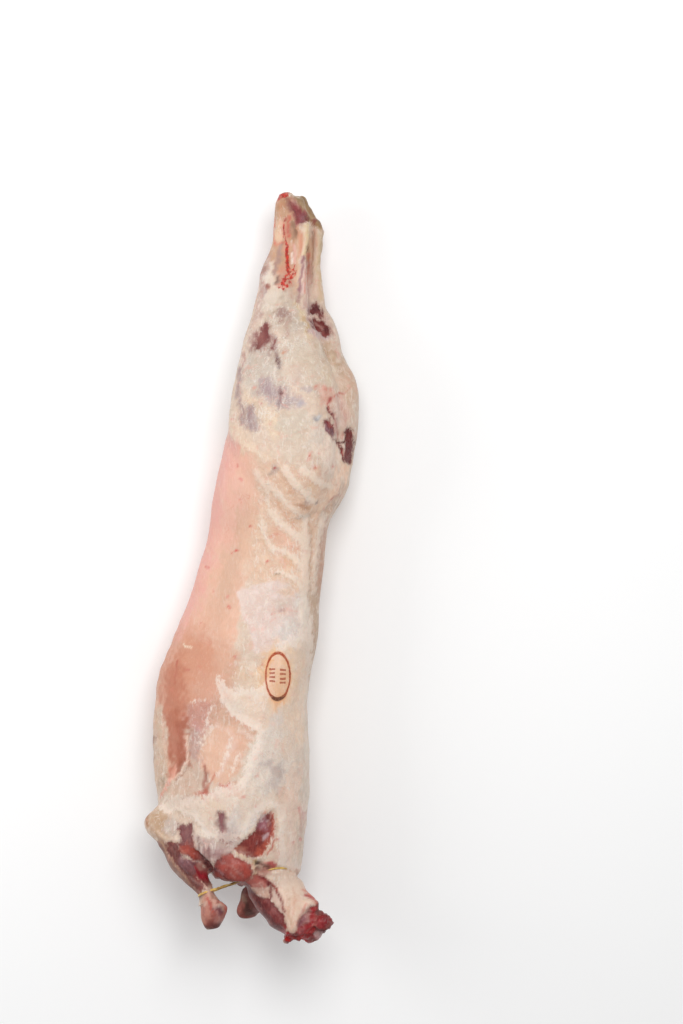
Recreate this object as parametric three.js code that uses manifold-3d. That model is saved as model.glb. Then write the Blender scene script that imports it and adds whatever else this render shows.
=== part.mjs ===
// A dressed lamb carcass, stiff from hanging and laid down on its left side.
//
// It is shaped in its own body frame, in millimetres:
//   x = back   (toward the backbone, minus toward the belly)
//   y = along  (plus toward the hocks, minus toward the neck)
//   z = side   (plus toward the right side, which faces up; zero is the middle plane)
// and is then leaned over, sunk a little into its own flat resting places and
// moved so that the middle of its underside is the origin.

import * as THREE from 'three';
import { LoftGeometry } from 'three/addons/geometries/LoftGeometry.js';
import { mergeVertices } from 'three/addons/utils/BufferGeometryUtils.js';
import Module from 'manifold-3d';

const wasm = await Module();
wasm.setup();

// ---------------------------------------------------------------- driving sizes

const BACK_LEAN = THREE.MathUtils.degToRad(22);    // the backbone is turned this far up
const HOCK_DROP = THREE.MathUtils.degToRad(4.2);   // the hind end is lowered onto its thigh
const REST_DEPTH = 8;                              // how far the meat is pressed flat below

const SQUARENESS = 2.3;       // section shape: 2 is an ellipse, more is squarer
const LIMB_SQUARENESS = 2.1;

const BAND_RADIUS = 1.8;      // the elastic band that ties forelegs and neck
const BAND_GAP = 0.35;        // clear space between the band and the meat
const BAND_SIDES = 8;
const BAND_STEPS = 84;

// Sections are rows of [along, back, side, half depth, half width]: where the
// middle of the section lies, and how far it reaches toward back and side.

const TRUNK = [
  [ -513, 27, 0, 44, 40 ],    // root of the neck
  [ -494, 5, 0, 69, 58 ],
  [ -468, -12, 0, 88, 74 ],   // breast
  [ -428, -27, 0, 106, 88 ],
  [ -372, -34, 0, 121, 94 ],  // shoulders
  [ -308, -35, 0, 124, 95 ],
  [ -244, -39, 0, 124, 93 ],  // deepest ribs
  [ -180, -35, 0, 124, 88 ],
  [ -116, -18, 0, 120, 78 ],  // last rib
  [ -52, -1, 0, 110, 68 ],
  [ 12, 15, 0, 101, 64 ],     // loin
  [ 70, 26, 0, 98, 68 ],
  [ 95, 34, 0, 101, 76 ],     // root of the tail
  [ 124, 44, 0, 104, 82 ],
  [ 172, 50, 0, 99, 84 ],     // rump
  [ 220, 54, 0, 90, 70 ],
  [ 268, 60, 0, 74, 46 ],     // between the legs
];

const THIGH = [
  [ 40, 70, 22, 20, 20 ],     // inside the rump
  [ 70, 72, 27, 40, 36 ],
  [ 108, 74, 33, 62, 50 ],
  [ 156, 72, 39, 79, 60 ],
  [ 204, 70, 42, 88, 62 ],
  [ 236, 71, 43, 91, 61 ],    // thickest part of the leg
  [ 268, 73, 43, 90, 58 ],
  [ 300, 74, 42, 85, 54 ],
  [ 332, 70, 41, 75, 48 ],
  [ 364, 68, 39, 64, 42 ],
  [ 396, 66, 36, 54, 36 ],
  [ 428, 63, 33, 45, 30 ],
  [ 452, 60, 31, 36, 25 ],
  [ 476, 55, 30, 27, 20 ],    // shin bone from here up
  [ 500, 57, 29, 18, 15 ],
  [ 524, 61, 29, 14, 14 ],
  [ 543, 65, 29, 17, 16 ],    // hock joint
  [ 564, 69, 29, 18, 18 ],
  [ 580, 71, 29, 18, 17 ],
  [ 593, 69, 29, 14, 14 ],
  [ 600, 70, 29, 8, 7 ],      // where the foot was taken off
];

const HEEL_TENDON = [
  [ 404, 92, 34, 20, 18 ],    // runs out of the calf
  [ 420, 95, 33, 17, 16 ],
  [ 444, 96, 31, 13, 12 ],
  [ 468, 95, 30, 11, 9 ],
  [ 492, 94, 29, 10, 8 ],
  [ 516, 95, 29, 12, 8 ],
  [ 534, 98, 29, 12, 11 ],    // tip of the heel bone
  [ 546, 94, 29, 14, 13 ],
  [ 564, 83, 29, 14, 15 ],
  [ 580, 75, 29, 11, 15 ],
  [ 591, 71, 29, 7, 12 ],
];

// The thin skin left between shin bone and heel tendon, sunk on both faces
const HEEL_WEB = [
  [ 430, 80, 31, 22, 11 ],
  [ 452, 77, 31, 20, 6 ],
  [ 480, 76, 30, 20, 3 ],
  [ 510, 78, 29, 19, 3 ],
  [ 533, 82, 29, 18, 7 ],
  [ 548, 82, 29, 16, 9 ],
];

const FORELEG = [
  [ -575, -38, 70, 9, 12 ],   // rounded end of the knuckle
  [ -564, -37, 70, 18, 20 ],
  [ -548, -35, 70, 22, 22 ],
  [ -532, -40, 70, 22, 20 ],
  [ -516, -51, 70, 19, 17 ],  // wrist, the thinnest place
  [ -500, -64, 71, 22, 21 ],
  [ -484, -75, 72, 28, 25 ],
  [ -468, -84, 72, 33, 29 ],
  [ -452, -90, 72, 37, 31 ],
  [ -436, -97, 71, 41, 32 ],  // forearm muscles
  [ -420, -105, 70, 44, 29 ],
  [ -406, -114, 69, 43, 23 ], // point of the elbow
  [ -393, -112, 66, 38, 20 ],
  [ -376, -104, 60, 34, 16 ],
];

const NECK = [
  [ -593, 81, 0, 17, 24 ],    // cut end
  [ -580, 82, 0, 36, 35 ],
  [ -564, 73, 0, 42, 39 ],
  [ -548, 66, 0, 44, 40 ],
  [ -532, 57, 0, 44, 40 ],
  [ -516, 45, 0, 44, 41 ],
  [ -500, 35, 0, 45, 44 ],
  [ -476, 29, 0, 47, 50 ],
  [ -444, 27, 0, 49, 52 ],
];

// Swellings and hollows of the trunk: where, how far they spread and how high
// they rise. The first ones are alike on both sides.
const PAIRED_SWELLS = [
  { at: [ 0, -360, 84 ], spread: [ 55, 70, 45 ], rise: 7 },    // shoulder blade
  { at: [ -40, -262, 88 ], spread: [ 60, 26, 45 ], rise: -3 }, // behind the shoulder
  { at: [ 84, -20, 42 ], spread: [ 34, 130, 26 ], rise: 5 },   // long back muscle
  { at: [ -30, 66, 60 ], spread: [ 50, 50, 40 ], rise: -6 },   // flank
  { at: [ 84, 132, 62 ], spread: [ 34, 40, 30 ], rise: 4 },    // hip
];
const LYING_SWELLS = [
  { at: [ -12, -260, -95 ], spread: [ 48, 140, 40 ], rise: 12 }, // spread by the weight on it
];

// Rounded lumps of muscle, bone and torn meat: centre, half sizes and turn (degrees)
const SHOULDER_POINT = { at: [ -10, -466, 56 ], size: [ 44, 39, 38 ], turn: -10 };
const UPPER_ARM = { at: [ -58, -430, 64 ], size: [ 80, 40, 34 ], turn: -28 };
const TAIL_ROOT = { at: [ 128, 96, 0 ], size: [ 12, 17, 11 ], turn: 0 };
const NECK_SCRAPS = [
  { at: [ 115, -563, 6 ], size: [ 20, 15, 24 ], turn: -35 },
  { at: [ 66, -584, 8 ], size: [ 13, 15, 20 ], turn: 15 },
  { at: [ 90, -584, -12 ], size: [ 16, 14, 18 ], turn: -12 },
  { at: [ 104, -534, 8 ], size: [ 15, 7, 16 ], turn: -35 },
];
const PELVIS_OPENING = { at: [ 158, 190, 0 ], size: [ 30, 29, 9 ], turn: 0 };

// ---------------------------------------------------------------- shaping tools

// How far the swells push the surface out at a point
function swellAt( point, swells ) {

  let rise = 0;

  for ( const { at, spread, rise: height } of swells ) {

    const x = ( point.x - at[ 0 ] ) / spread[ 0 ];
    const y = ( point.y - at[ 1 ] ) / spread[ 1 ];
    const z = ( point.z - at[ 2 ] ) / spread[ 2 ];
    rise += height * Math.exp( - ( x * x + y * y + z * z ) );

  }

  return rise;

}

// A rounded-square ring of points round one section
function ring( [ along, back, side, depth, width ], sides, squareness, swells ) {

  const points = [];
  const soften = ( value ) => Math.sign( value ) * Math.abs( value ) ** ( 2 / squareness );

  for ( let i = 0; i < sides; i ++ ) {

    const angle = i / sides * 2 * Math.PI;
    const outward = new THREE.Vector3( Math.cos( angle ), 0, - Math.sin( angle ) );
    const x = back + depth * soften( outward.x );
    const z = side + width * soften( outward.z );
    const point = new THREE.Vector3( x, along, z );
    points.push( point.addScaledVector( outward, swellAt( point, swells ) ) );

  }

  return points;

}

// A closed skin over smoothly blended sections
function loft( stations, rows, sides, squareness = LIMB_SQUARENESS, swells = [] ) {

  const places = stations.map( ( station ) => station[ 0 ] );
  const sizes = stations.flatMap( ( station ) => station.slice( 1 ) );
  const blend = new THREE.CubicInterpolant( places, sizes, 4 );
  const start = places[ 0 ];
  const length = places.at( - 1 ) - start;
  const sections = [];

  for ( let row = 0; row <= rows; row ++ ) {

    const along = start + length * row / rows;
    sections.push( ring( [ along, ...blend.evaluate( along ) ], sides, squareness, swells ) );

  }

  return new LoftGeometry( sections, { capStart: true, capEnd: true } );

}

// An egg-shaped lump, turned about the side direction
function lump( { at, size, turn }, mirror = 1 ) {

  const geometry = new THREE.SphereGeometry( 1, 16, 10 );
  geometry.scale( ...size );
  geometry.rotateZ( THREE.MathUtils.degToRad( turn ) );
  geometry.translate( at[ 0 ], at[ 1 ], at[ 2 ] * mirror );
  return geometry;

}

// The same swell on the other side of the body
function mirroredSwell( { at: [ x, y, z ], spread, rise } ) {

  return { at: [ x, y, - z ], spread, rise };

}

// The same sections on the left side of the body
function mirrored( stations ) {

  return stations.map( ( [ along, back, side, depth, width ] ) => [ along, back, - side, depth, width ] );

}

// The left foreleg: it is drawn up a little, its elbow is tucked under the
// chest that lies on it, and its wrist is pulled back behind the neck.
function tuckedForeleg( stations ) {

  const tuck = { lift: 14, elbowSide: 0.64, kneeSide: 0.88, wristBack: 27, allBack: 5, spread: 40 };
  const knuckle = stations[ 0 ][ 0 ];
  const elbow = stations.at( - 1 )[ 0 ];
  const wrist = -516;

  return stations.map( ( [ along, back, side, depth, width ] ) => {

    const share = ( along - knuckle ) / ( elbow - knuckle );
    const closer = THREE.MathUtils.lerp( tuck.kneeSide, tuck.elbowSide, share );
    const pulled = tuck.allBack + tuck.wristBack * Math.exp( - ( ( ( along - wrist ) / tuck.spread ) ** 2 ) );
    return [ along + tuck.lift * ( 1 - share ), back + pulled, - side * closer, depth, width ];

  } );

}

// ---------------------------------------------------------------- joins and cuts

function toSolid( geometry ) {

  const bare = new THREE.BufferGeometry().copy( geometry );
  bare.deleteAttribute( 'normal' );
  bare.deleteAttribute( 'uv' );
  const merged = mergeVertices( bare, 1e-4 );
  const vertProperties = new Float32Array( merged.getAttribute( 'position' ).array );
  const triVerts = new Uint32Array( merged.index.array );
  return new wasm.Manifold( new wasm.Mesh( { numProp: 3, vertProperties, triVerts } ) );

}

function toGeometry( solid ) {

  const mesh = solid.getMesh();
  const geometry = new THREE.BufferGeometry();
  geometry.setAttribute( 'position', new THREE.BufferAttribute( mesh.vertProperties, 3 ) );
  geometry.setIndex( new THREE.BufferAttribute( mesh.triVerts, 1 ) );
  geometry.computeVertexNormals();
  return geometry;

}

function join( geometries ) {

  return geometries.map( toSolid ).reduce( ( whole, next ) => whole.add( next ) );

}

// ---------------------------------------------------------------- the meat

function trunk() {

  const swells = [ ...PAIRED_SWELLS, ...PAIRED_SWELLS.map( mirroredSwell ), ...LYING_SWELLS ];
  return loft( TRUNK, 42, 46, SQUARENESS, swells );

}

function hindLeg( mirror ) {

  const side = ( stations ) => ( mirror ? mirrored( stations ) : stations );

  return [
    loft( side( THIGH ), 34, 22 ),
    loft( side( HEEL_TENDON ), 14, 12 ),
    loft( side( HEEL_WEB ), 8, 10 ),
  ];

}

function foreleg( stations ) {

  return loft( stations, 20, 16 );

}

function meat() {

  const pieces = [
    trunk(),
    ...hindLeg( false ),
    ...hindLeg( true ),
    foreleg( FORELEG ),
    foreleg( tuckedForeleg( FORELEG ) ),
    loft( NECK, 12, 22 ),
    lump( SHOULDER_POINT ),
    lump( SHOULDER_POINT, -1 ),
    lump( UPPER_ARM ),
    lump( TAIL_ROOT ),
    ...NECK_SCRAPS.map( ( scrap ) => lump( scrap ) ),
  ];

  return join( pieces ).subtract( toSolid( lump( PELVIS_OPENING ) ) );

}

// ---------------------------------------------------------------- the elastic band

// Where the middle of the band runs, in order
const BAND_ROUTE = [
  [ -52, -513, 90 ],          // over the right wrist
  [ -24, -512, 87 ],
  [ 0, -507, 76 ],            // under the point of the shoulder
  [ 16, -500, 67 ],
  [ 40, -488, 60 ],           // over the root of the neck
  [ 66, -481, 39 ],
  [ 80, -480, 4 ],            // round its back
  [ 66, -483, -39 ],
  [ 40, -489, -61 ],
  [ 14, -501, -67 ],
  [ -8, -507, -76 ],          // under the left wrist
  [ -30, -510, -75 ],
  [ -43, -512, -54 ],
  [ -57, -514, 0 ],
  [ -73, -515, 56 ],          // back to the right wrist
  [ -72, -515, 80 ],
];

// A ring bent along a closed curve
function bandAlong( route, radius ) {

  const curve = new THREE.CatmullRomCurve3( route.map( ( p ) => new THREE.Vector3( ...p ) ), true );
  const frames = curve.computeFrenetFrames( BAND_STEPS, true );
  const sections = [];

  for ( let step = 0; step < BAND_STEPS; step ++ ) {

    const middle = curve.getPointAt( step / BAND_STEPS );
    const across = frames.normals[ step ];
    const up = frames.binormals[ step ];
    const section = [];

    for ( let i = 0; i < BAND_SIDES; i ++ ) {

      const angle = i / BAND_SIDES * 2 * Math.PI;
      const point = middle.clone();
      point.addScaledVector( across, radius * Math.cos( angle ) );
      point.addScaledVector( up, radius * Math.sin( angle ) );
      section.push( point );

    }

    sections.push( section );

  }

  sections.push( sections[ 0 ] );
  return new LoftGeometry( sections );

}

// ---------------------------------------------------------------- laid down on its side

function layDown() {

  const lean = new THREE.Matrix4().makeRotationY( - BACK_LEAN );
  const drop = new THREE.Matrix4().makeRotationX( - HOCK_DROP );
  return drop.multiply( lean );

}

function floorBlock( geometry ) {

  geometry.computeBoundingBox();
  const floor = geometry.boundingBox.min.z + REST_DEPTH;
  const block = new THREE.BoxGeometry( 3000, 3000, 200 );
  block.translate( 0, 0, floor - 100 );
  return block;

}

const band = bandAlong( BAND_ROUTE, BAND_RADIUS );
const groove = bandAlong( BAND_ROUTE, BAND_RADIUS + BAND_GAP );
const whole = toGeometry( meat().subtract( toSolid( groove ) ) );

whole.applyMatrix4( layDown() );
band.applyMatrix4( layDown() );

const carcassGeometry = toGeometry( toSolid( whole ).subtract( toSolid( floorBlock( whole ) ) ) );

// The origin is the middle of the underside
carcassGeometry.computeBoundingBox();
const middle = carcassGeometry.boundingBox.getCenter( new THREE.Vector3() );
const toOrigin = new THREE.Vector3( - middle.x, - middle.y, - carcassGeometry.boundingBox.min.z );

const flesh = new THREE.MeshStandardMaterial( { color: 0xd9b3a2, roughness: 0.5, metalness: 0 } );
const elastic = new THREE.MeshStandardMaterial( { color: 0xb99a3c, roughness: 0.55, metalness: 0 } );

const carcass = new THREE.Mesh( carcassGeometry, flesh );
carcass.name = 'carcass';
carcass.position.copy( toOrigin );

const tieBand = new THREE.Mesh( band, elastic );
tieBand.name = 'tie_band';
tieBand.position.copy( toOrigin );

const lamb = new THREE.Group();
lamb.add( carcass, tieBand );

export default lamb;
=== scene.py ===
# %% [markdown]
# # A raw lamb carcass, lying on its side
#
# A dressed lamb is one long body of meat with four limbs. Its skin is gone, so
# what shows is cream fat, thin see-through membrane over pink and purple meat,
# and ragged windows where bare dark red muscle comes out. An elastic band ties
# the forelegs to the neck.
#
# The solid model already has every main form at its real size. This lesson
# turns that plain solid into meat in four steps: a fine skin is laid over the
# solid, low relief is pressed into the skin, the skin is painted from named
# patches, and a moist material reads the paint.

# %% Load the frame
import math

import bpy
import numpy as np
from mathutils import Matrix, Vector
from mathutils.bvhtree import BVHTree


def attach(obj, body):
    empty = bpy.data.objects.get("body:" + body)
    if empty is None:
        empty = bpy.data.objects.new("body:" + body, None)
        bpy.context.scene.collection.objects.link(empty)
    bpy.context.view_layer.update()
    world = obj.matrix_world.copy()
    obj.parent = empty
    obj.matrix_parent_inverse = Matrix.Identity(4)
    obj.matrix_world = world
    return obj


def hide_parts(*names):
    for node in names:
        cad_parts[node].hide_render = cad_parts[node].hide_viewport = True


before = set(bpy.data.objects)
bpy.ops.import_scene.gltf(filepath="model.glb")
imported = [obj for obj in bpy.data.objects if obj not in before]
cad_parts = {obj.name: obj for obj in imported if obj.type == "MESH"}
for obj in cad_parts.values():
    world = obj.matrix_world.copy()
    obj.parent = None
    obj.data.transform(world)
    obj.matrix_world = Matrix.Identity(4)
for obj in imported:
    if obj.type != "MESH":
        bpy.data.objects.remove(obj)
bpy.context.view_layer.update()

# %% [markdown]
# ## Three ways to say where something is
#
# The scene is in metres. Every place on the meat was found in a photograph seen
# straight from above, so patches are given as picture points, and one picture
# point is 1.6 mm on the meat. The left side of the body lies on the floor and
# isn't in the picture. An animal is alike on both sides, so the left side takes
# its relief and paint from the matching place on the right, and for that the
# points are also turned into the body's own directions: back, along and side.

# %% Picture points and body directions
PICTURE_POINT = 0.0016                # metres on the meat for one picture point
PICTURE_SIZE = (683, 1024)
PICTURE_ZERO = np.array([252.5, 567.5])
LENS = 100.0                          # millimetres
SENSOR = 36.0                         # millimetres, along the picture's long side
SHARP_HEIGHT = 0.1                    # the height at which one point is that size
CAMERA_DROP = PICTURE_SIZE[1] * PICTURE_POINT * LENS / SENSOR
PICTURE_MIDDLE = np.array(PICTURE_SIZE) / 2
BACK_LEAN = math.radians(22)          # the backbone is turned this far up
HOCK_DROP = math.radians(4.2)         # the hind end is lowered by this
BODY_ZERO = np.array([0.0006, -0.0039, 0.0906])


def body_turn():
    """The turn from body directions to the scene's directions."""
    lean, drop = BACK_LEAN, HOCK_DROP
    about_length = np.array([
        [math.cos(lean), 0, -math.sin(lean)],
        [0, 1, 0],
        [math.sin(lean), 0, math.cos(lean)],
    ])
    about_width = np.array([
        [1, 0, 0],
        [0, math.cos(drop), math.sin(drop)],
        [0, -math.sin(drop), math.cos(drop)],
    ])
    return about_width @ about_length


BODY_TURN = body_turn()


def to_body(points):
    return (points - BODY_ZERO) @ BODY_TURN


def to_scene(points):
    return points @ BODY_TURN.T + BODY_ZERO


def to_picture(points):
    """Picture column and row of scene points; what is nearer the camera looks larger."""
    across = PICTURE_ZERO[0] + points[:, 0] / PICTURE_POINT
    down = PICTURE_ZERO[1] - points[:, 1] / PICTURE_POINT
    nearness = CAMERA_DROP / (CAMERA_DROP + SHARP_HEIGHT - points[:, 2])
    flat = np.stack([across, down], axis=1) - PICTURE_MIDDLE
    return PICTURE_MIDDLE + flat * nearness[:, None]


def from_picture(column, row, height):
    """The scene point that shows at a picture point, at a height in metres."""
    nearness = CAMERA_DROP / (CAMERA_DROP + SHARP_HEIGHT - height)
    across = PICTURE_MIDDLE[0] + (column - PICTURE_MIDDLE[0]) / nearness
    down = PICTURE_MIDDLE[1] + (row - PICTURE_MIDDLE[1]) / nearness
    x = (across - PICTURE_ZERO[0]) * PICTURE_POINT
    y = (PICTURE_ZERO[1] - down) * PICTURE_POINT
    return (x, y, height)


HOCK_TIP = (285, 192)                 # column and row on the picture

print("hock tip lies at", from_picture(*HOCK_TIP, SHARP_HEIGHT))

# %% [markdown]
# ## A fine skin over the solid
#
# The solid is made of big flat faces. A copy of it is merged, remeshed into
# even squares of about 3 mm and smoothed, so that the seams between leg, rump
# and trunk melt into each other as muscle does. Thin parts such as the heel
# tendons would shrink under that much smoothing, so they get less of it, and
# the fold between the two thighs gets more, because fat bridges it. These are
# the tools for that. The skin is made once shapes can be drawn on the picture.

# %% Tools for reshaping a piece
SKIN_SQUARE = 0.00325                 # fine enough for the paint, and under 200,000 triangles
BODY_SMOOTHING = 22                   # rounds over the trunk and thighs
THIN_SMOOTHING = 4                    # rounds over hocks, knuckles and neck
FOLD_SMOOTHING = 204                  # rounds where fat bridges a fold


def select_only(piece):
    bpy.ops.object.select_all(action="DESELECT")
    piece.select_set(True)
    bpy.context.view_layer.objects.active = piece


def apply_modifier(piece, kind, **settings):
    """Adds one modifier with its settings and applies it."""
    select_only(piece)
    modifier = piece.modifiers.new(kind.title(), kind)
    for name, value in settings.items():
        setattr(modifier, name, value)
    bpy.ops.object.modifier_apply(modifier=modifier.name)


def copy_of_node(node, name):
    """A merged copy of a CAD node, free to be reshaped."""
    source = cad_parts[node]
    piece = bpy.data.objects.new(name, source.data.copy())
    bpy.context.scene.collection.objects.link(piece)
    select_only(piece)
    bpy.ops.object.mode_set(mode="EDIT")
    bpy.ops.mesh.select_all(action="SELECT")
    bpy.ops.mesh.remove_doubles(threshold=0.00002)
    bpy.ops.object.mode_set(mode="OBJECT")
    return piece


def points_of(piece):
    flat = np.empty(len(piece.data.vertices) * 3)
    piece.data.vertices.foreach_get("co", flat)
    return flat.reshape(-1, 3)


def normals_of(piece):
    flat = np.empty(len(piece.data.vertices) * 3)
    piece.data.vertices.foreach_get("normal", flat)
    return flat.reshape(-1, 3)


def put_points(piece, points):
    piece.data.vertices.foreach_set("co", points.ravel())
    piece.data.update()


def weight_group(piece, name, weights):
    """A vertex group with the weights rounded to tenths."""
    group = piece.vertex_groups.new(name=name)
    for step in range(1, 11):
        chosen = np.nonzero(np.round(weights * 10) == step)[0]
        if len(chosen):
            group.add(chosen.tolist(), step / 10, "REPLACE")
    return group.name


def ramp(values, low, high):
    """0 below low, 1 above high, and a soft slope between."""
    share = np.clip((values - low) / (high - low), 0, 1)
    return share * share * (3 - 2 * share)


# %% [markdown]
# ## Shapes drawn on the picture
#
# A patch of paint, a groove or a window in the fat all start as the same thing:
# an outline on the picture. Each shape here is a function that says, for any
# picture point, how far inside the shape it lies (minus means outside). One
# number like that can be turned into a hard edge, a soft edge or a ragged one.

# %% Blobs, lines and sheets
REACH = 14.0                          # distances are only worked out this far


def near(points, low, high):
    inside = np.all((points > np.array(low) - REACH) & (points < np.array(high) + REACH), axis=1)
    return np.nonzero(inside)[0]


def blob(middle, half, turn=0):
    """An ellipse: its middle, half sizes across and down, turned clockwise by degrees."""
    angle = math.radians(turn)
    size = max(half)
    low = (middle[0] - size, middle[1] - size)
    high = (middle[0] + size, middle[1] + size)

    def depth(points):
        field = np.full(len(points), -REACH)
        chosen = near(points, low, high)
        x, y = (points[chosen] - np.array(middle)).T
        u = x * math.cos(angle) + y * math.sin(angle)
        v = -x * math.sin(angle) + y * math.cos(angle)
        rim = np.hypot(u / half[0], v / half[1])
        gap = np.hypot(u, v) * (1 - 1 / np.maximum(rim, 0.001))
        inner = min(half) * (1 - rim)
        field[chosen] = np.clip(np.where(rim < 1, inner, -gap), -REACH, REACH)
        return field

    return depth


def segment_distance(points, start, end):
    start, end = np.array(start, float), np.array(end, float)
    along = end - start
    share = np.clip((points - start) @ along / max(along @ along, 1e-9), 0, 1)
    return np.linalg.norm(points - start - share[:, None] * along, axis=1), share


def line(places, half_width, end_width=None):
    """A line through places, which may thin out towards its far end."""
    low, high = np.min(places, axis=0), np.max(places, axis=0)
    last_width = half_width if end_width is None else end_width
    widths = np.linspace(half_width, last_width, len(places))

    def depth(points):
        field = np.full(len(points), -REACH)
        chosen = near(points, low, high)
        best = np.full(len(chosen), -REACH)
        for index in range(len(places) - 1):
            gap, share = segment_distance(points[chosen], places[index], places[index + 1])
            width = widths[index] + share * (widths[index + 1] - widths[index])
            best = np.maximum(best, width - gap)
        field[chosen] = best
        return field

    return depth


def sheet(places):
    """An area with the given corners."""
    low, high = np.min(places, axis=0), np.max(places, axis=0)

    def depth(points):
        field = np.full(len(points), -REACH)
        chosen = near(points, low, high)
        spots = points[chosen]
        nearest = np.full(len(chosen), REACH)
        inside = np.zeros(len(chosen), bool)
        for start, end in zip(places, places[1:] + places[:1]):
            nearest = np.minimum(nearest, segment_distance(spots, start, end)[0])
            (x0, y0), (x1, y1) = start, end
            if y0 != y1:
                crosses = (y0 > spots[:, 1]) != (y1 > spots[:, 1])
                at = (x1 - x0) * (spots[:, 1] - y0) / (y1 - y0) + x0
                inside ^= crosses & (spots[:, 0] < at)
        field[chosen] = np.where(inside, nearest, -nearest)
        return field

    return depth


# %% [markdown]
# ## Make the skin and pull its ends into place
#
# Skin bridges the gap between the two hocks, so a long ball is joined in there
# before the remesh melts everything together. The solid is right to a few
# millimetres. The ends are pulled the rest of the way: each row takes hold of the
# skin in a patch, as a sculptor's grab brush does, and moves it by so many
# picture points across and down.

# %% Make the skin
FOLDS = [
    line([(302, 312), (312, 338), (330, 372), (338, 410), (339, 470)], 12),
    line([(291, 202), (297, 210), (304, 221)], -3),
]
FOLD_REACH = 10                       # picture points that the smoothing reaches past a fold

HOCK_ROWS = (262, 310)                # picture rows over which the leg grows thick
NECK_ROWS = (850, 872)                # picture rows over which the thin end begins
ELBOW_TIP = (152, 826)
ELBOW_GUARD = (14, 40)                # picture points round the elbow that are smoothed less

HOCK_WEB_PLACE = (298, 211, 0.084)    # column and row on the picture, height in metres
HOCK_WEB_HALF = (0.024, 0.012, 0.026)  # along the gap, across it and upwards
HOCK_WEB_TURN = math.radians(-56)


def fill_hock_gap(piece):
    """Joins a long ball into the piece, where skin bridges the gap between the hocks."""
    bpy.ops.object.select_all(action="DESELECT")
    bpy.ops.mesh.primitive_uv_sphere_add(segments=24, ring_count=12, radius=1.0,
                                         location=from_picture(*HOCK_WEB_PLACE),
                                         rotation=(0, 0, HOCK_WEB_TURN))
    web = bpy.context.active_object
    web.scale = HOCK_WEB_HALF
    bpy.ops.object.transform_apply(location=True, rotation=True, scale=True)
    piece.select_set(True)
    bpy.context.view_layer.objects.active = piece
    bpy.ops.object.join()


lamb = copy_of_node("carcass", "lamb_meat")
fill_hock_gap(lamb)
apply_modifier(lamb, "REMESH", mode="VOXEL", voxel_size=SKIN_SQUARE, adaptivity=0.0)
picture = to_picture(points_of(lamb))
above_hock = ramp(picture[:, 1], *HOCK_ROWS)
behind_neck = 1 - ramp(picture[:, 1], *NECK_ROWS)
from_elbow = np.hypot(picture[:, 0] - ELBOW_TIP[0], picture[:, 1] - ELBOW_TIP[1])
thick = weight_group(lamb, "thick", above_hock * behind_neck * ramp(from_elbow, *ELBOW_GUARD))
in_fold = np.max([ramp(fold(picture), -FOLD_REACH, 0) for fold in FOLDS], axis=0)
folds = weight_group(lamb, "folds", in_fold)
apply_modifier(lamb, "SMOOTH", factor=0.5, iterations=THIN_SMOOTHING)
apply_modifier(lamb, "SMOOTH", factor=0.5, iterations=BODY_SMOOTHING, vertex_group=thick)
apply_modifier(lamb, "SMOOTH", factor=0.5, iterations=FOLD_SMOOTHING, vertex_group=folds)
lamb.vertex_groups.clear()
print("skin:", len(lamb.data.vertices), "points,", len(lamb.data.polygons), "faces")

# %% Grab
GRABS = [
    # where, how soft, how far across and down
    (blob((299, 203), (7, 6)), 5, (2, -4)),                       # top of the far hock
    (blob((319, 234), (8, 10)), 8, (-1, -8)),                     # its heel
    (blob((312, 216), (5, 6)), 6, (2, -1)),                       # the slope down to the heel
    (blob((333, 332), (9, 20)), 8, (3, -1)),                      # back of the calf
    (line([(163, 850), (180, 870), (198, 893)], 9), 9, (6, -1)),  # near foreleg
    (blob((213, 920), (16, 13)), 8, (1, -14)),                    # near knuckle
    (blob((250, 908), (15, 15)), 6, (-6, -2)),                    # far knuckle
    (blob((212, 880), (4, 7)), 5, (-1, -7)),                      # gap beside the near foreleg
    (line([(218, 886), (230, 890), (244, 891)], 5), 4, (0, -6)),  # under the far shoulder
    (blob((302, 877), (5, 3)), 4, (-6, 0)),                       # notch where the neck begins
    (blob((152, 841), (5, 6)), 5, (4, 0)),                        # below the elbow
    (blob((315, 899), (6, 6)), 5, (6, 0)),                        # loose flap of the neck
    (blob((329, 914), (5, 5)), 4, (-5, 0)),                       # notch under it
    (blob((276, 935), (6, 7)), 6, (7, 0)),                        # lower corner of the neck
    (blob((322, 926), (11, 14)), 8, (4, -5)),                     # cut end of the neck
    (blob((296, 943), (18, 6)), 6, (0, -5)),                      # lower edge of that end
]

points = points_of(lamb)
for shape, soft, (across, down) in GRABS:
    hold = ramp(shape(to_picture(points)), -soft, soft)
    points[:, 0] += hold * across * PICTURE_POINT
    points[:, 1] -= hold * down * PICTURE_POINT
put_points(lamb, points)
print("patches grabbed:", len(GRABS))

# %% [markdown]
# ## One canvas for both sides
#
# Each point of the skin has two places on the picture: its own, and that of its
# twin on the other side of the body. Skin that the camera can see reads its own
# place, and skin that lies underneath reads its twin's. In between, the two are
# mixed so that no seam shows.

# %% The canvas
SIDE_FACING = (-0.7, -0.3)            # between these the skin turns from one side to the other
LONG_DRIFT, SHORT_DRIFT = 0.024, 0.010  # metres


def waves(points, length, seed, count=18):
    """A smooth random field with bumps of about the given length in metres."""
    chance = np.random.default_rng(seed)
    ways = chance.normal(size=(count, 3))
    ways /= np.linalg.norm(ways, axis=1, keepdims=True)
    ways *= chance.uniform(0.7, 1.4, size=(count, 1)) * 2 * math.pi / length
    starts = chance.uniform(0, 2 * math.pi, count)
    return np.sin(points @ ways.T + starts).sum(axis=1) / math.sqrt(count / 2)


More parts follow.
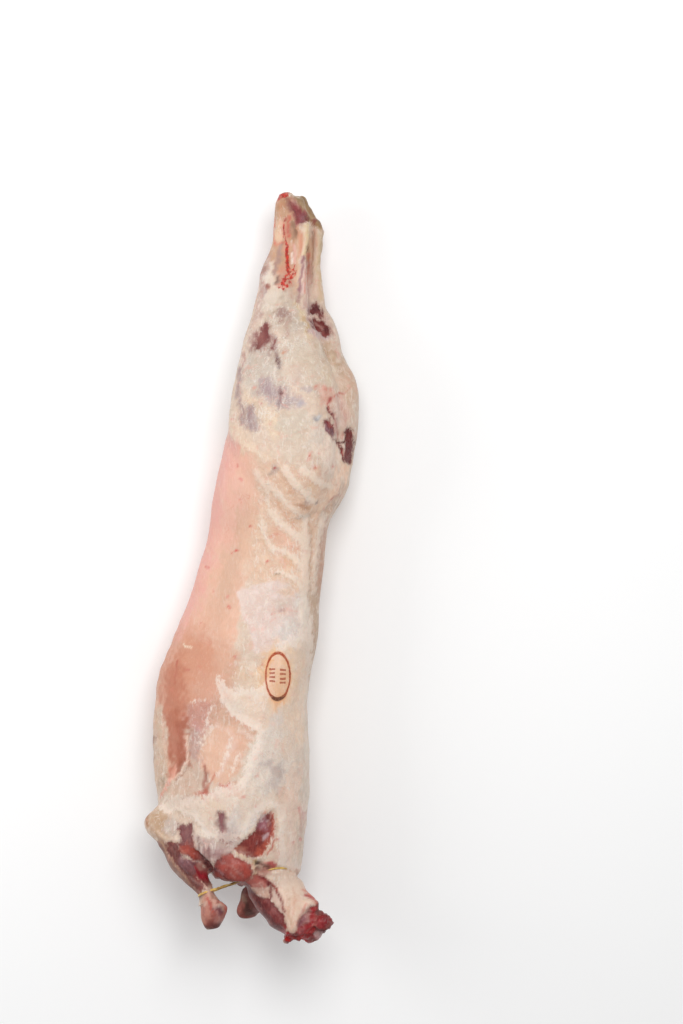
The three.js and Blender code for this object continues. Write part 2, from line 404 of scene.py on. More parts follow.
class Canvas:
    """Looks up picture shapes for all points of one piece."""

    def __init__(self, piece):
        self.points = points_of(piece)
        self.normals = normals_of(piece)
        self.body = to_body(self.points)
        twin = to_scene(self.body * np.array([1, 1, -1]))
        facing = self.normals @ BODY_TURN
        self.own = to_picture(self.points)
        self.other = to_picture(twin)
        self.share = ramp(facing[:, 2], *SIDE_FACING)
        drift = [0.7 * waves(self.points, LONG_DRIFT, 60 + axis)
                 + 0.5 * waves(self.points, SHORT_DRIFT, 62 + axis) for axis in range(2)]
        self.drift = np.stack(drift, axis=1)

    def depth(self, shape, wander=0.0):
        """How deep each point lies in a shape whose outline may wander by so many points."""
        own = shape(self.own + wander * self.drift)
        other = shape(self.other + wander * self.drift)
        return own * self.share + other * (1 - self.share)


canvas = Canvas(lamb)
print("share of the skin that reads its own place:", round(float(canvas.share.mean()), 2))

# %% [markdown]
# ## Where the fat is thick and where it is gone
#
# Over the loin the fat lies in slanting stripes, and along the back it forms a
# thick white coat with a torn front edge. Windows are the places where the
# knife took the fat away and bare muscle shows.

# %% Thick fat
STRIPES = [
    line([(256, 473), (261, 482), (266, 491), (269, 501), (271, 511)], 3.4, 0.8),
    line([(268, 484), (276, 493), (286, 502), (295, 510), (302, 516)], 3.6, 2),
    line([(286, 470), (293, 482), (303, 492), (312, 501)], 4.6, 4),
    line([(303, 470), (313, 477), (322, 484), (331, 487)], 4.6, 2.6),
    line([(271, 512), (278, 520), (288, 529), (302, 541)], 3.8, 4.4),
    line([(262, 519), (265, 532), (269, 544), (274, 551)], 2.2, 2.8),
    line([(273, 549), (284, 551), (294, 557), (303, 566)], 2.6, 3.8),
    line([(279, 571), (289, 576), (299, 581), (305, 592)], 2.4, 4.4),
    line([(305, 518), (306, 540), (305, 566), (305, 592), (304, 622)], 4, 4.6),
    line([(325, 516), (321, 528), (317, 545), (315, 562), (313, 592)], 3, 1.8),
]
BACK_FAT = [
    sheet([(217, 680), (219, 674), (224, 682), (232, 691), (244, 689), (262, 690), (282, 640),
           (296, 636), (306, 600), (312, 600), (312, 660), (308, 720), (312, 770), (312, 850),
           (304, 872), (279, 866), (277, 838), (278, 812), (268, 808), (256, 816), (246, 832),
           (234, 842), (216, 840), (203, 834), (195, 818), (180, 814), (168, 812), (158, 812),
           (160, 806), (176, 796), (196, 798), (212, 792), (228, 786), (240, 784), (247, 764),
           (256, 742), (256, 731), (240, 722), (228, 713), (219, 699)]),
    line([(192, 703), (200, 700), (208, 702)], 0.7, 0.4),
    line([(211, 706), (207, 720), (203, 736), (201, 750)], 0.9, 0.6),
    line([(229, 738), (227, 750), (224, 756)], 1.3, 0.8),
    line([(222, 762), (220, 770), (216, 776)], 1.2, 0.6),
    line([(240, 752), (236, 764), (230, 776)], 0.9, 0.6),
]

# %% Windows in the fat
WINDOWS = [
    # hind leg
    sheet([(290, 201), (294, 203), (299, 208), (304, 213), (308, 218), (303, 222), (298, 224),
           (295, 219), (292, 210)]),
    sheet([(308, 314), (311, 307), (316, 300), (320, 307), (323.5, 319), (318, 316), (312, 314)]),
    sheet([(310.5, 319), (316, 318.5), (323, 320), (331, 327.5), (332, 337.5), (324, 336.5), (316, 332),
           (312, 326)]),
    sheet([(261.5, 326), (265, 322.5), (270, 324), (269.5, 334), (267, 342), (262, 346), (258, 349),
           (254.5, 351), (256, 342), (258.5, 333)]),
    line([(274, 340), (272, 348)], 2, 0.8),
    line([(276, 356), (278, 367)], 1.4, 0.8),
    blob((281.5, 393.5), (2, 2)),
    # round the pelvis
    line([(327.5, 409), (331, 413), (334.5, 418)], 1.5, 1),
    sheet([(323, 421), (328, 418), (332, 424), (336, 433), (331.5, 437), (326.5, 431)]),
    sheet([(343.5, 431), (348, 428), (352.5, 430), (355, 440), (355, 450), (353.5, 459), (350, 465.5),
           (347, 461), (345.5, 456), (345.5, 446)]),
    line([(337, 442.5), (347, 443), (356, 443)], 1.3, 0.7),
    line([(337.5, 442), (342, 451), (347, 461)], 1, 1.5),
    line([(332, 437), (337, 442)], 0.9),
    # shoulder
    sheet([(178, 823), (184, 825), (192, 822), (193, 828), (194, 841), (197, 851), (190, 847),
           (182, 842), (176, 829)]),
    sheet([(272, 811), (275, 820), (274, 831), (270, 839), (267, 847), (263, 855), (257, 858),
           (249, 857), (239, 852), (235, 849), (244, 840), (255, 832), (258, 823), (263, 815)]),
    sheet([(221, 857), (231, 853), (239, 857), (246, 860), (253, 865), (254, 872), (251, 881),
           (245, 885), (237, 887), (229, 883), (218, 877), (211, 870), (215, 862)]),
    sheet([(196, 850), (203, 856), (210, 863), (216, 869), (226, 880), (218, 878), (208, 871),
           (200, 862)]),
    line([(221, 815), (221.5, 823), (223.5, 830)], 2.6, 1.8),
    # near foreleg
    sheet([(166, 842), (172, 841), (178, 846), (184, 858), (192, 868), (200, 879), (207, 889),
           (200, 893), (192, 887), (182, 873), (172, 860), (166, 850)]),
    sheet([(176, 842), (184, 841), (193, 846), (201, 853), (208, 862), (206, 868), (198, 862),
           (188, 859), (180, 853)]),
    sheet([(180, 860), (190, 860), (200, 863), (207, 870), (211, 880), (211, 887), (204, 884),
           (194, 875), (184, 866)]),
    # neck
    sheet([(240, 882), (249, 885), (256, 894), (262, 899), (268, 899), (275, 905), (284, 914),
           (287, 928), (286, 938), (274, 938), (258, 918), (246, 899)]),
    line([(269, 884), (271, 890), (271, 898)], 1.6, 1.2),
    sheet([(286, 932), (294, 934), (297, 925), (300, 917), (306, 910), (313, 905), (319, 902),
           (325, 911), (334, 915), (334, 932), (322, 941), (305, 947), (286, 947), (282, 938)]),
]


def deepest(shapes, wander=0.0):
    return np.max([canvas.depth(shape, wander) for shape in shapes], axis=0)


stripe_depth = deepest(STRIPES, 0.8)
back_fat_depth = deepest(BACK_FAT, 1.4)
window_depth = deepest(WINDOWS, 0.7)
print("stripes:", len(STRIPES), "windows:", len(WINDOWS))

# %% [markdown]
# ## Low relief
#
# Meat is never smooth. Muscles part in grooves, tendons stand out as cords on
# the hock, fat is a little higher than what it leaves bare, and loose edges of
# skin stand up. Each row gives a shape, a height in millimetres and the softness
# of its edge in picture points.

# %% Grooves and ridges
GROOVES = [
    # hind leg
    (line([(312, 232), (312, 250), (312, 268), (310, 284)], 1.4), -2.2, 2),
    (line([(291, 240), (291.5, 252), (292, 263)], 1), -3.5, 2),
    (line([(294, 226), (295, 240)], 2.2), -1.8, 3),
    (line([(288, 215), (287, 228)], 1.4), -1.2, 2),
    (line([(288, 270), (292, 286), (299, 302), (306, 318)], 2), -1.4, 5),
    (line([(304, 257), (302, 272), (299, 300)], 1.6), -1.4, 2.6),
    (line([(308, 312), (309, 324), (315, 335)], 1.4), -1.2, 3),
    (line([(318, 345), (330, 357), (342, 369)], 1.6), -0.9, 5),
    (line([(246, 350), (240, 375), (238, 400), (242, 430)], 2.2), -1.6, 5),
    (line([(276, 350), (281, 378), (292, 400), (306, 414)], 3), -1.3, 7),
    (line([(318, 392), (326, 402), (333, 413), (339, 424)], 1.6), -2.2, 3),
    # loin
    (line([(336, 497), (330, 505), (325, 513), (320, 521)], 1.5), -2.4, 3),
    (line([(296, 513), (306, 518), (315, 514)], 1.6), -1.8, 4),
    (line([(312, 522), (311, 545), (310, 575), (309, 620)], 1.4), -1.4, 3),
    (blob((281, 610), (4, 4)), -2, 5),
    (line([(240, 600), (248, 628), (255, 653)], 1), -0.5, 2),
    # chest and shoulder
    (line([(187, 712), (188, 740), (187, 758)], 1.6), -1.4, 3),
    (line([(201, 762), (204, 778), (206, 790), (203, 797)], 1.4), -3, 2.6),
    (line([(193, 803), (198, 799), (204, 801)], 1.2), -2, 2),
    (line([(234, 853), (244, 859), (256, 862), (263, 862)], 1.5), -3.2, 2.4),
    (line([(255, 860), (258, 868), (258, 876), (264, 884)], 2), -4, 3),
    (line([(263, 871), (272, 870), (281, 868.5), (291, 870), (297, 873)], 1), -3, 2),
    # near foreleg
    (line([(164, 841), (177, 842), (190, 848), (202, 858)], 1.4), -2, 2.5),
    (line([(178, 857), (190, 860), (202, 864), (208, 869)], 1.1), -2.2, 2),
    (line([(168, 846), (180, 864), (192, 880), (201, 892)], 1), -1.6, 1.8),
    (line([(162, 846), (175, 864), (188, 882), (198, 894)], 0.8), -1, 1.6),
    (line([(194, 851), (204, 858), (211, 866)], 1.8), -3.2, 2.4),
    (line([(199, 895), (209, 891), (219, 888)], 1.2), -1.2, 2),
    (line([(206, 897), (210, 904), (213, 912)], 0.8), -0.9, 1.8),
    # neck
    (line([(270, 886), (278, 893), (283, 906), (286, 918), (288, 930)], 1.2), -2.8, 1.8),
    (line([(262, 888), (269, 899), (277, 907)], 1), -1.6, 2),
    (line([(297, 918), (305, 910), (315, 905)], 1), -2.4, 1.8),
    (line([(313, 914), (314, 924), (312, 934)], 1.4), -3, 2.4),
]
RIDGES = [
    # hind leg
    (line([(317, 228), (318, 255), (318, 282)], 2), 1.8, 2.2),
    (line([(306, 224), (306, 245), (303, 258)], 2.2), 2.4, 2.2),
    (line([(299, 226), (298, 262), (297, 290)], 1.8), 1.4, 2.4),
    (line([(315, 262), (315, 290)], 1.6), 1, 2.4),
    (line([(282, 200), (280, 225), (279, 250), (276, 275)], 3.6), 1.4, 4),
    (blob((279, 232), (5, 12), -4), 1.6, 3),
    (blob((284, 206), (5, 6)), 1.2, 3),
    (line([(296, 228), (303, 226), (308, 224)], 2), 1.4, 2.6),
    (line([(312, 330), (320, 337), (331, 339)], 1.2), 1, 2),
    (line([(231, 412), (232, 434), (243, 445), (256, 455)], 2.2), 1.4, 3),
    (blob((246, 338), (8, 16), 18), 2.4, 8),
    (blob((345, 398), (12, 26), 8), 2.4, 9),
    (blob((312, 380), (24, 36), -8), 2, 14),
    (line([(331, 402), (338, 414), (342, 426)], 3), 1.8, 3),
    # loin
    (blob((300, 478), (16, 12), 30), 2, 9),
    (line([(327, 505), (334, 498), (341, 493)], 1.4), 1.2, 2),
    # chest and shoulder
    (line([(187, 748), (187, 763), (182, 772), (171, 781), (160, 799)], 1.3), 2.4, 2),
    (line([(164, 748), (169, 770), (167, 783)], 1.2), 1.2, 2),
    (line([(155, 712), (157, 745), (160, 780)], 3.2), 2, 4),
    (line([(148, 820), (160, 806), (176, 797), (192, 792)], 3.2), 2, 5),
    (blob((151, 821), (6, 8)), 2.4, 5),
    (blob((226, 822), (24, 22)), 2.6, 14),
    (line([(222, 840), (240, 800), (256, 762), (262, 730)], 4), 1.4, 8),
    (blob((198, 796), (6, 3), 20), 1.8, 2.5),
    (line([(237, 853), (246, 858), (256, 861)], 1.4), 1.8, 1.8),
    (line([(254, 864), (255, 872), (260, 877)], 1.6), 2, 1.8),
    (line([(266, 864), (274, 865)], 1.6, 1), 1.6, 1.8),
    # near foreleg
    (blob((187, 850), (10, 5), 32), 2.2, 3),
    (blob((189, 867), (10, 5), 36), 2.2, 3),
    (line([(172, 850), (184, 866), (197, 884)], 2.4), 1.6, 2.4),
    (line([(202, 868), (208, 878), (214, 888)], 2.6), 1.4, 2.4),
    (blob((214, 914), (11, 10)), 1.6, 6),
    # neck
    (sheet([(273, 872), (284, 869), (295, 873), (303, 884), (311, 893), (317, 898), (313, 903),
            (304, 909), (299, 916), (296, 928), (290, 932), (286, 926), (284, 912), (280, 898),
            (276, 889), (269, 882)]), 2.6, 1.6),
    (sheet([(305, 893), (312, 893), (319, 898), (320, 903), (315, 905), (308, 900)]), 1.6, 1.3),
    (blob((323, 922), (6, 8)), 3.4, 4),
    (blob((324, 922), (2.4, 3.4)), -4, 2),
    (blob((317, 936), (5, 4)), 2.4, 3),
    (line([(299, 918), (305, 910), (313, 905)], 1.6), 2, 1.4),
]

# Heights are in millimetres
STRIPE_RISE = 0.9
BACK_FAT_RISE = 0.5
WINDOW_DROP = 1.5
WINDOW_RIM_RISE = 0.7                 # torn fat stands up round a window

relief = np.zeros(len(canvas.points))
for shape, height, soft in GROOVES + RIDGES:
    relief += height * ramp(canvas.depth(shape, 0.3), -soft, soft)
relief += STRIPE_RISE * ramp(stripe_depth, -1.8, 1.8) + BACK_FAT_RISE * ramp(back_fat_depth, -1.5, 1.5)
relief -= WINDOW_DROP * ramp(window_depth, -1.0, 1.6)
relief += WINDOW_RIM_RISE * ramp(window_depth, -4.0, -1.5) * (1 - ramp(window_depth, -1.5, 0.0))
print("grooves:", len(GROOVES), "ridges:", len(RIDGES))

# %% [markdown]
# ## Unevenness, ribs and torn ends
#
# Chance waves of several lengths break up every surface that is still too even.
# The ribs show as faint bars under the thin meat of the chest. The cut end of
# the neck and the sawn top of the hock are torn, so there the waves are short
# and high. A shallow seam runs along the middle of the brisket underneath.

# %% Uneven surface
RIB_GAP = 0.030                       # metres from rib to rib
RIB_RISE = 0.45                       # millimetres
RIB_SLANT = 0.35                      # metres towards the neck for each metre towards the back
RIBS_BEGIN = (590, 640)               # picture rows over which they fade in
RIBS_END = (760, 800)                 # picture rows over which they fade out
RIBS_REACH = (0.02, 0.075)            # metres towards the back over which they fade out
NECK_CUT = WINDOWS[-1]
HOCK_CUT = blob((284, 194), (9, 5))
HOCK_TORN = 0.45                      # how torn the hock is, next to 1 for the neck
SEAM_HALF_WIDTH = 0.004               # metres
SEAM_DROP = 4.0                       # millimetres
SEAM_BELOW = (0.03, 0.06)             # metres towards the belly over which it fades in
SEAM_ALONG = (-0.36, -0.3)            # metres along the body over which it fades in

chest = ramp(canvas.own[:, 1], *RIBS_BEGIN) * (1 - ramp(canvas.own[:, 1], *RIBS_END))
belly_side = 1 - ramp(canvas.body[:, 0], *RIBS_REACH)
rib_waves = np.cos(2 * math.pi * (canvas.body[:, 1] + RIB_SLANT * canvas.body[:, 0]) / RIB_GAP)
relief += RIB_RISE * chest * belly_side * rib_waves

fat_share = 0.4 + 0.6 * ramp(back_fat_depth, -4, 4)
relief += 0.9 * waves(canvas.points, length=0.110, seed=1)
relief += 0.5 * fat_share * waves(canvas.points, length=0.042, seed=2)
relief += 0.2 * fat_share * waves(canvas.points, length=0.016, seed=3)

neck_end = ramp(canvas.depth(NECK_CUT), -3, 4)
hock_end = ramp(canvas.depth(HOCK_CUT), -2, 3)
torn = np.maximum(neck_end, HOCK_TORN * hock_end)
relief += torn * (2.0 * waves(canvas.points, length=0.019, seed=4)
                  + 1.2 * waves(canvas.points, length=0.010, seed=5))

near_middle = np.exp(-((canvas.body[:, 2] / SEAM_HALF_WIDTH) ** 2))
seam_in_belly = near_middle * ramp(-canvas.body[:, 0], *SEAM_BELOW)
relief -= SEAM_DROP * seam_in_belly * ramp(canvas.body[:, 1], *SEAM_ALONG)

moved = canvas.points + canvas.normals * relief[:, None] / 1000
moved[:, 2] = np.maximum(moved[:, 2], 0.0)
put_points(lamb, moved)
apply_modifier(lamb, "SMOOTH", factor=0.34, iterations=1)
print("relief runs from", round(relief.min(), 1), "to", round(relief.max(), 1), "mm")

# %% [markdown]
# ## Paint
#
# Two coats of colour are painted on the skin. The first is what covers the meat:
# fat, membrane, tendon and bone. The second is the bare meat itself, which only
# shows where a window is open. Each row is a shape, a colour as seen in
# daylight, how soft its edge is and how strongly it covers. A few rows in
# both coats are painted shade or painted light, not the meat's own colour,
# and a comment marks each of them.

# %% Colours
FAT = (217, 197, 180)
BLUSH = (225, 166, 157)
FLANK = (224, 182, 160)
BONE_TAN = (158, 125, 88)
MEAT = (146, 82, 76)


def linear(colour):
    """A daylight colour of 0 to 255 as the light values that a material needs."""
    part = np.array(colour, float) / 255
    return np.where(part <= 0.04045, part / 12.92, ((part + 0.055) / 1.055) ** 2.4)


HIND_LEG_COVER = [
    (sheet([(275, 200), (290, 200), (300, 226), (296, 262), (284, 276), (268, 274), (273, 236)]),
     (192, 150, 119), 4, 0.85),
    (blob((284, 202), (9, 8)), (184, 140, 108), 3, 0.85),
    (blob((276, 208), (3, 10)), (186, 146, 118), 2.6, 0.7),
    (blob((280, 196), (4, 3)), (206, 120, 96), 2, 0.8),
    (blob((279, 232), (4.5, 12), -3), (222, 190, 162), 1.8, 0.9),
    (line([(284, 226), (284, 240), (286, 252)], 2.4), (218, 160, 140), 2.4, 0.7),
    (blob((287, 276), (8, 11)), (206, 146, 124), 4, 0.8),
    (blob((285, 284), (6, 5)), (196, 112, 92), 3, 0.7),
    (line([(274.6, 220), (273.6, 232), (275.5, 243), (282, 245)], 0.9), (214, 112, 98), 1.2, 0.8),
    (line([(288, 217), (289, 226), (288, 236)], 1.4), (198, 90, 82), 1.8, 0.8),
    (sheet([(292, 197), (303, 197), (323, 225), (321, 230), (312, 226), (304, 216), (296, 203)]),
     BONE_TAN, 1.6, 1),
    # painted shade: a dark olive line along the right edge of the far hock's slab
    (line([(303, 197), (312, 210), (322, 225)], 1.6), (138, 112, 76), 1.4, 0.9),
    (line([(296, 198), (302, 199)], 1.6), (150, 126, 92), 1.4, 0.8),
    (line([(299, 201), (307, 212), (316, 223)], 0.9), (198, 174, 142), 1.3, 0.6),
    (sheet([(287, 199), (296, 203), (306, 213), (311, 219), (303, 224), (298, 228), (292, 219)]),
     (160, 90, 90), 2.4, 0.9),
    (blob((289, 206), (3, 5), -20), (150, 104, 96), 2.4, 0.8),
    (blob((314, 222.5), (2.2, 3.6)), (142, 76, 72), 1.6, 0.9),
    (line([(306, 226), (307, 240), (305, 254)], 2.6), (216, 192, 156), 1.6, 0.95),
    (line([(298, 228), (302, 236), (300, 250)], 1.4), (206, 166, 134), 1.8, 0.8),
    (line([(318, 231), (319, 262), (320, 300)], 2.2), (204, 180, 150), 1.6, 0.9),
    (line([(322, 232), (320.5, 262)], 0.9), (176, 150, 112), 1.2, 0.8),
    (line([(314, 230), (316, 246)], 1.6), (206, 160, 138), 1.6, 0.8),
    (line([(298, 232), (297, 262), (296, 292)], 2.4), (206, 170, 144), 2, 0.85),
    (line([(301, 232), (301, 258)], 0.8), (196, 110, 90), 1, 0.6),
    (line([(294, 246), (294.5, 262)], 1.6), (236, 198, 186), 1.2, 0.9),
    # painted light: this row and the next are near-white slivers that stand for the bright floor seen
    # through a slit
    (line([(291, 240), (291, 245)], 0.4), (232, 226, 218), 0.8, 0.9),
    (line([(291.6, 253), (291.8, 263)], 0.6), (234, 229, 222), 0.8, 0.95),
    # painted shade: a grey-brown patch in the hollow between the two hocks
    (blob((294, 231), (3.4, 9)), (150, 118, 98), 2.5, 0.9),
    (line([(297, 228), (300, 240), (299, 256)], 0.7), (206, 140, 112), 1.2, 0.7),
    (line([(309, 240), (309, 272)], 2.4), (208, 166, 130), 2.4, 0.6),
    # painted shade: a brown line down the groove between the two heel tendons
    (line([(312.5, 232), (312.5, 250), (312, 274)], 1.1), (166, 122, 94), 1.5, 0.85),
    (blob((307, 248), (1, 6)), (120, 86, 66), 1.2, 0.8),
    (line([(304, 258), (302, 274), (299, 302)], 1.8), (158, 112, 118), 1.6, 0.95),
    (line([(306.5, 262), (305, 280), (302, 296)], 0.8), (216, 186, 182), 1, 0.8),
    (line([(308.5, 254), (308, 268), (305, 292)], 0.8), (206, 116, 104), 1, 0.8),
    (line([(310, 262), (309, 282), (306, 306)], 1.8), (192, 158, 150), 2, 0.8),
    (line([(311, 282), (316, 300)], 3), (206, 182, 164), 3, 0.7),
    (line([(270, 256), (264, 276), (260, 300), (254, 322)], 2.4), (186, 152, 144), 2.6, 0.85),
    (line([(266, 288), (262, 304), (258, 318)], 1.6), (150, 112, 116), 1.8, 0.8),
    (line([(264, 268), (262, 276)], 1.4), (150, 100, 96), 1.6, 0.7),
    (line([(279, 248), (278, 262), (274, 274)], 2.2), (164, 134, 128), 2, 0.85),
    (line([(272, 262), (266, 282)], 2.8), (220, 209, 196), 2.4, 0.85),
    (blob((278, 280), (2.6, 4.6), 25), (120, 88, 78), 1.8, 0.9),
    (blob((268, 286), (2.6, 2.4), 30), (142, 74, 66), 1.6, 0.85),
    (blob((285, 291), (2, 2)), (130, 88, 76), 1.5, 0.85),
    (blob((282, 296), (1.8, 2.2)), (124, 104, 98), 1.4, 0.85),
    (line([(289, 292), (292, 296), (295, 303)], 1.1), (186, 76, 66), 1.2, 0.85),
    (sheet([(268, 292), (290, 288), (300, 306), (304, 330), (292, 338), (278, 330), (262, 322)]),
     (198, 182, 166), 5, 0.8),
    (sheet([(264, 290), (278, 292), (277, 306), (270, 314), (261, 308)]), (218, 207, 194), 3, 0.65),
    (blob((283, 311), (7, 5.5)), (160, 128, 120), 3, 0.9),
    (blob((280, 321), (3.6, 3.4)), (150, 96, 86), 2, 0.8),
    (blob((290, 320), (4, 6), -20), (170, 138, 130), 2.5, 0.85),
    (line([(286, 324), (289, 334)], 1.6), (184, 140, 130), 1.8, 0.7),
    (line([(310, 307), (308.5, 318), (311, 330)], 1.8), (156, 118, 124), 2, 0.8),
    (blob((320, 328), (14, 10), 35), (196, 168, 162), 3, 0.7),
    (blob((323, 310), (3, 8), -18), (206, 184, 166), 2, 0.7),
    (line([(311, 316.8), (317, 317.6), (323, 320)], 1.1), (218, 190, 176), 1.2, 0.95),
    (line([(312, 330), (319, 337), (330, 338)], 1.8), (206, 186, 184), 1.6, 0.95),
    (line([(262, 300), (256, 320), (250, 340), (246, 352)], 2), (214, 188, 172), 2.6, 0.7),
    (line([(287, 280), (297, 298)], 5), (186, 160, 142), 4, 0.65),
    (blob((292, 324), (22, 7)), (192, 177, 163), 6, 0.5),
    (line([(296, 302), (302, 314), (307, 328), (310, 340)], 2.2), (216, 192, 158), 2.5, 0.85),
    (line([(304, 316), (308, 330)], 1), (186, 152, 112), 1.5, 0.7),
    # painted shade: a darker tan line along the groove between the two thighs
    (line([(317, 345), (330, 358), (342, 369)], 1.8), (196, 172, 138), 3, 0.6),
    (sheet([(322, 340), (334, 344), (348, 368), (354, 384), (338, 374), (324, 356)]),
     (190, 160, 134), 5, 0.75),
]
THIGH_COVER = [
    (sheet([(252, 344), (272, 336), (284, 350), (286, 380), (280, 398), (258, 400), (244, 384),
            (246, 360)]), (198, 186, 174), 6, 0.85),
    (blob((268, 350), (10, 12)), (188, 172, 160), 5, 0.7),
    (blob((261, 339), (8, 14), 24), (160, 116, 112), 4.5, 0.9),
    (blob((274, 344), (3, 6), 10), (168, 134, 132), 2.6, 0.8),
    (line([(276, 352), (279, 366)], 1.3), (128, 98, 100), 1.8, 0.7),
    (line([(272, 346), (268, 356)], 1), (150, 118, 116), 1.6, 0.6),
    (line([(244, 354), (243, 366)], 1.1), (176, 118, 112), 1.5, 0.8),
    (line([(241, 372), (238, 392), (240, 412), (246, 428)], 2.4), (168, 142, 140), 2.4, 0.9),
    (sheet([(256, 380), (268, 376), (278, 384), (288, 390), (302, 400), (306, 405), (296, 407),
            (282, 409), (272, 403), (262, 396)]), (182, 164, 162), 3.4, 0.95),
    (blob((268, 390), (8, 5), 20), (166, 142, 144), 3, 0.7),
    (line([(280, 388), (281, 396), (279, 404)], 1), (122, 92, 96), 1.6, 0.8),
    (blob((300, 402), (5, 3), 25), (180, 172, 178), 2.4, 0.8),
    (line([(279, 398), (277, 409)], 1.6), (150, 128, 130), 2, 0.7),
    (sheet([(247, 402), (256, 400), (264, 406), (266, 420), (260, 429), (250, 431), (245, 418)]),
     (178, 158, 156), 2.8, 0.95),
    (line([(251, 404), (249, 418), (251, 429)], 1.4), (152, 128, 130), 1.6, 0.8),
    (line([(258, 403), (258, 414), (261, 424)], 1.4), (150, 126, 130), 1.6, 0.8),
    (line([(255, 402), (255, 420)], 0.9), (206, 196, 190), 1.2, 0.8),
    (sheet([(246, 392), (256, 398), (272, 410), (284, 428), (276, 440), (262, 428), (252, 408),
            (245, 398)]), (226, 204, 178), 3.5, 0.75),
    (sheet([(284, 342), (304, 338), (326, 360), (334, 380), (326, 392), (304, 392), (288, 372)]),
     (207, 193, 177), 8, 0.7),
    (blob((300, 352), (16, 12), 30), (206, 192, 175), 8, 0.6),
    (blob((296, 376), (7, 9)), (200, 180, 170), 5, 0.6),
    (blob((307, 390), (4, 3)), (184, 168, 170), 2.4, 0.8),
    (sheet([(276, 412), (300, 408), (312, 418), (304, 440), (284, 440), (276, 426)]),
     (204, 192, 176), 6, 0.7),
    (blob((300, 452), (20, 12)), (212, 196, 178), 8, 0.5),
    (blob((347, 392), (11, 28), 8), (210, 180, 158), 6, 0.85),
    (blob((328, 373), (8, 12)), (218, 197, 170), 5, 0.6),
    (blob((316, 438), (7, 16)), (218, 207, 196), 5, 0.7),
    (blob((340, 396), (5, 14)), (222, 198, 178), 4, 0.6),
    (blob((316, 387), (2.6, 2)), (206, 122, 108), 1.6, 0.8),
    (blob((325, 388), (2.2, 2.6)), (210, 130, 116), 1.6, 0.8),
    (blob((330, 389), (1.6, 2.2)), (208, 120, 108), 1.4, 0.8),
    (blob((327, 396), (7, 10)), (216, 168, 152), 5, 0.7),
    (line([(328, 404), (329, 399), (333, 396), (338, 394)], 0.7), (188, 78, 72), 1.2, 0.8),
    (line([(337, 394.5), (343, 393.5)], 0.9), (190, 84, 78), 1.1, 0.8),
    (line([(341, 395), (346, 391), (350, 387)], 0.5), (204, 124, 112), 1.1, 0.6),
    (line([(329, 397), (328.5, 406)], 0.9), (158, 50, 50), 1.2, 0.8),
    (line([(324, 424), (329, 434), (333, 438)], 0.7), (216, 176, 168), 1.1, 0.8),
    (blob((341.6, 436), (1.8, 4.2)), (206, 150, 136), 1.2, 0.9),
    (line([(338, 431), (337.6, 440)], 0.7), (166, 84, 76), 1.1, 0.8),
    (blob((342, 447.5), (2.6, 2), 45), (222, 190, 180), 1.1, 0.8),
    (line([(334, 424), (336, 430), (338, 436)], 1.2), (206, 140, 130), 1.6, 0.6),
    (sheet([(331, 398), (344, 395), (350, 412), (346, 428), (337, 424), (330, 412)]),
     (218, 188, 174), 3.4, 0.85),
    (line([(333, 402), (337, 414), (341, 426)], 1), (230, 210, 198), 1.4, 0.7),
    (line([(338, 399), (343, 410), (346, 422)], 0.8), (206, 150, 138), 1.3, 0.4),
    (line([(336, 400), (342, 412), (345, 426)], 0.6), (202, 126, 114), 1.2, 0.4),
    (line([(330, 410), (334, 418), (337, 427)], 0.9), (170, 82, 80), 1.3, 0.8),
    # painted light: this row and the next are cream brighter than the fat's own colour, lifting the
    # shade on these slopes
    (blob((330, 452), (12, 16)), (241, 222, 207), 6, 0.8),
    (line([(333, 493), (340, 480), (345, 470)], 6), (241, 207, 182), 6, 0.9),
    (line([(310, 452), (309, 460)], 1.2), (224, 158, 146), 1.8, 0.7),
    (line([(318, 474), (326, 482), (336, 484)], 0.7), (206, 154, 130), 1.4, 0.6),
    (line([(313, 466), (320, 474)], 0.6), (206, 130, 120), 1.2, 0.6),
    (blob((316, 419), (2.8, 4), 20), (140, 146, 160), 1.8, 0.7),
    (blob((318, 417), (1.2, 1.6)), (226, 222, 220), 1, 0.8),
    (line([(308, 418), (311, 440), (318, 462)], 2), (224, 208, 192), 2.5, 0.6),
    (sheet([(228, 418), (240, 424), (250, 440), (262, 450), (276, 452), (272, 460), (256, 459),
            (242, 448), (232, 440)]), (228, 206, 184), 3, 0.8),
]
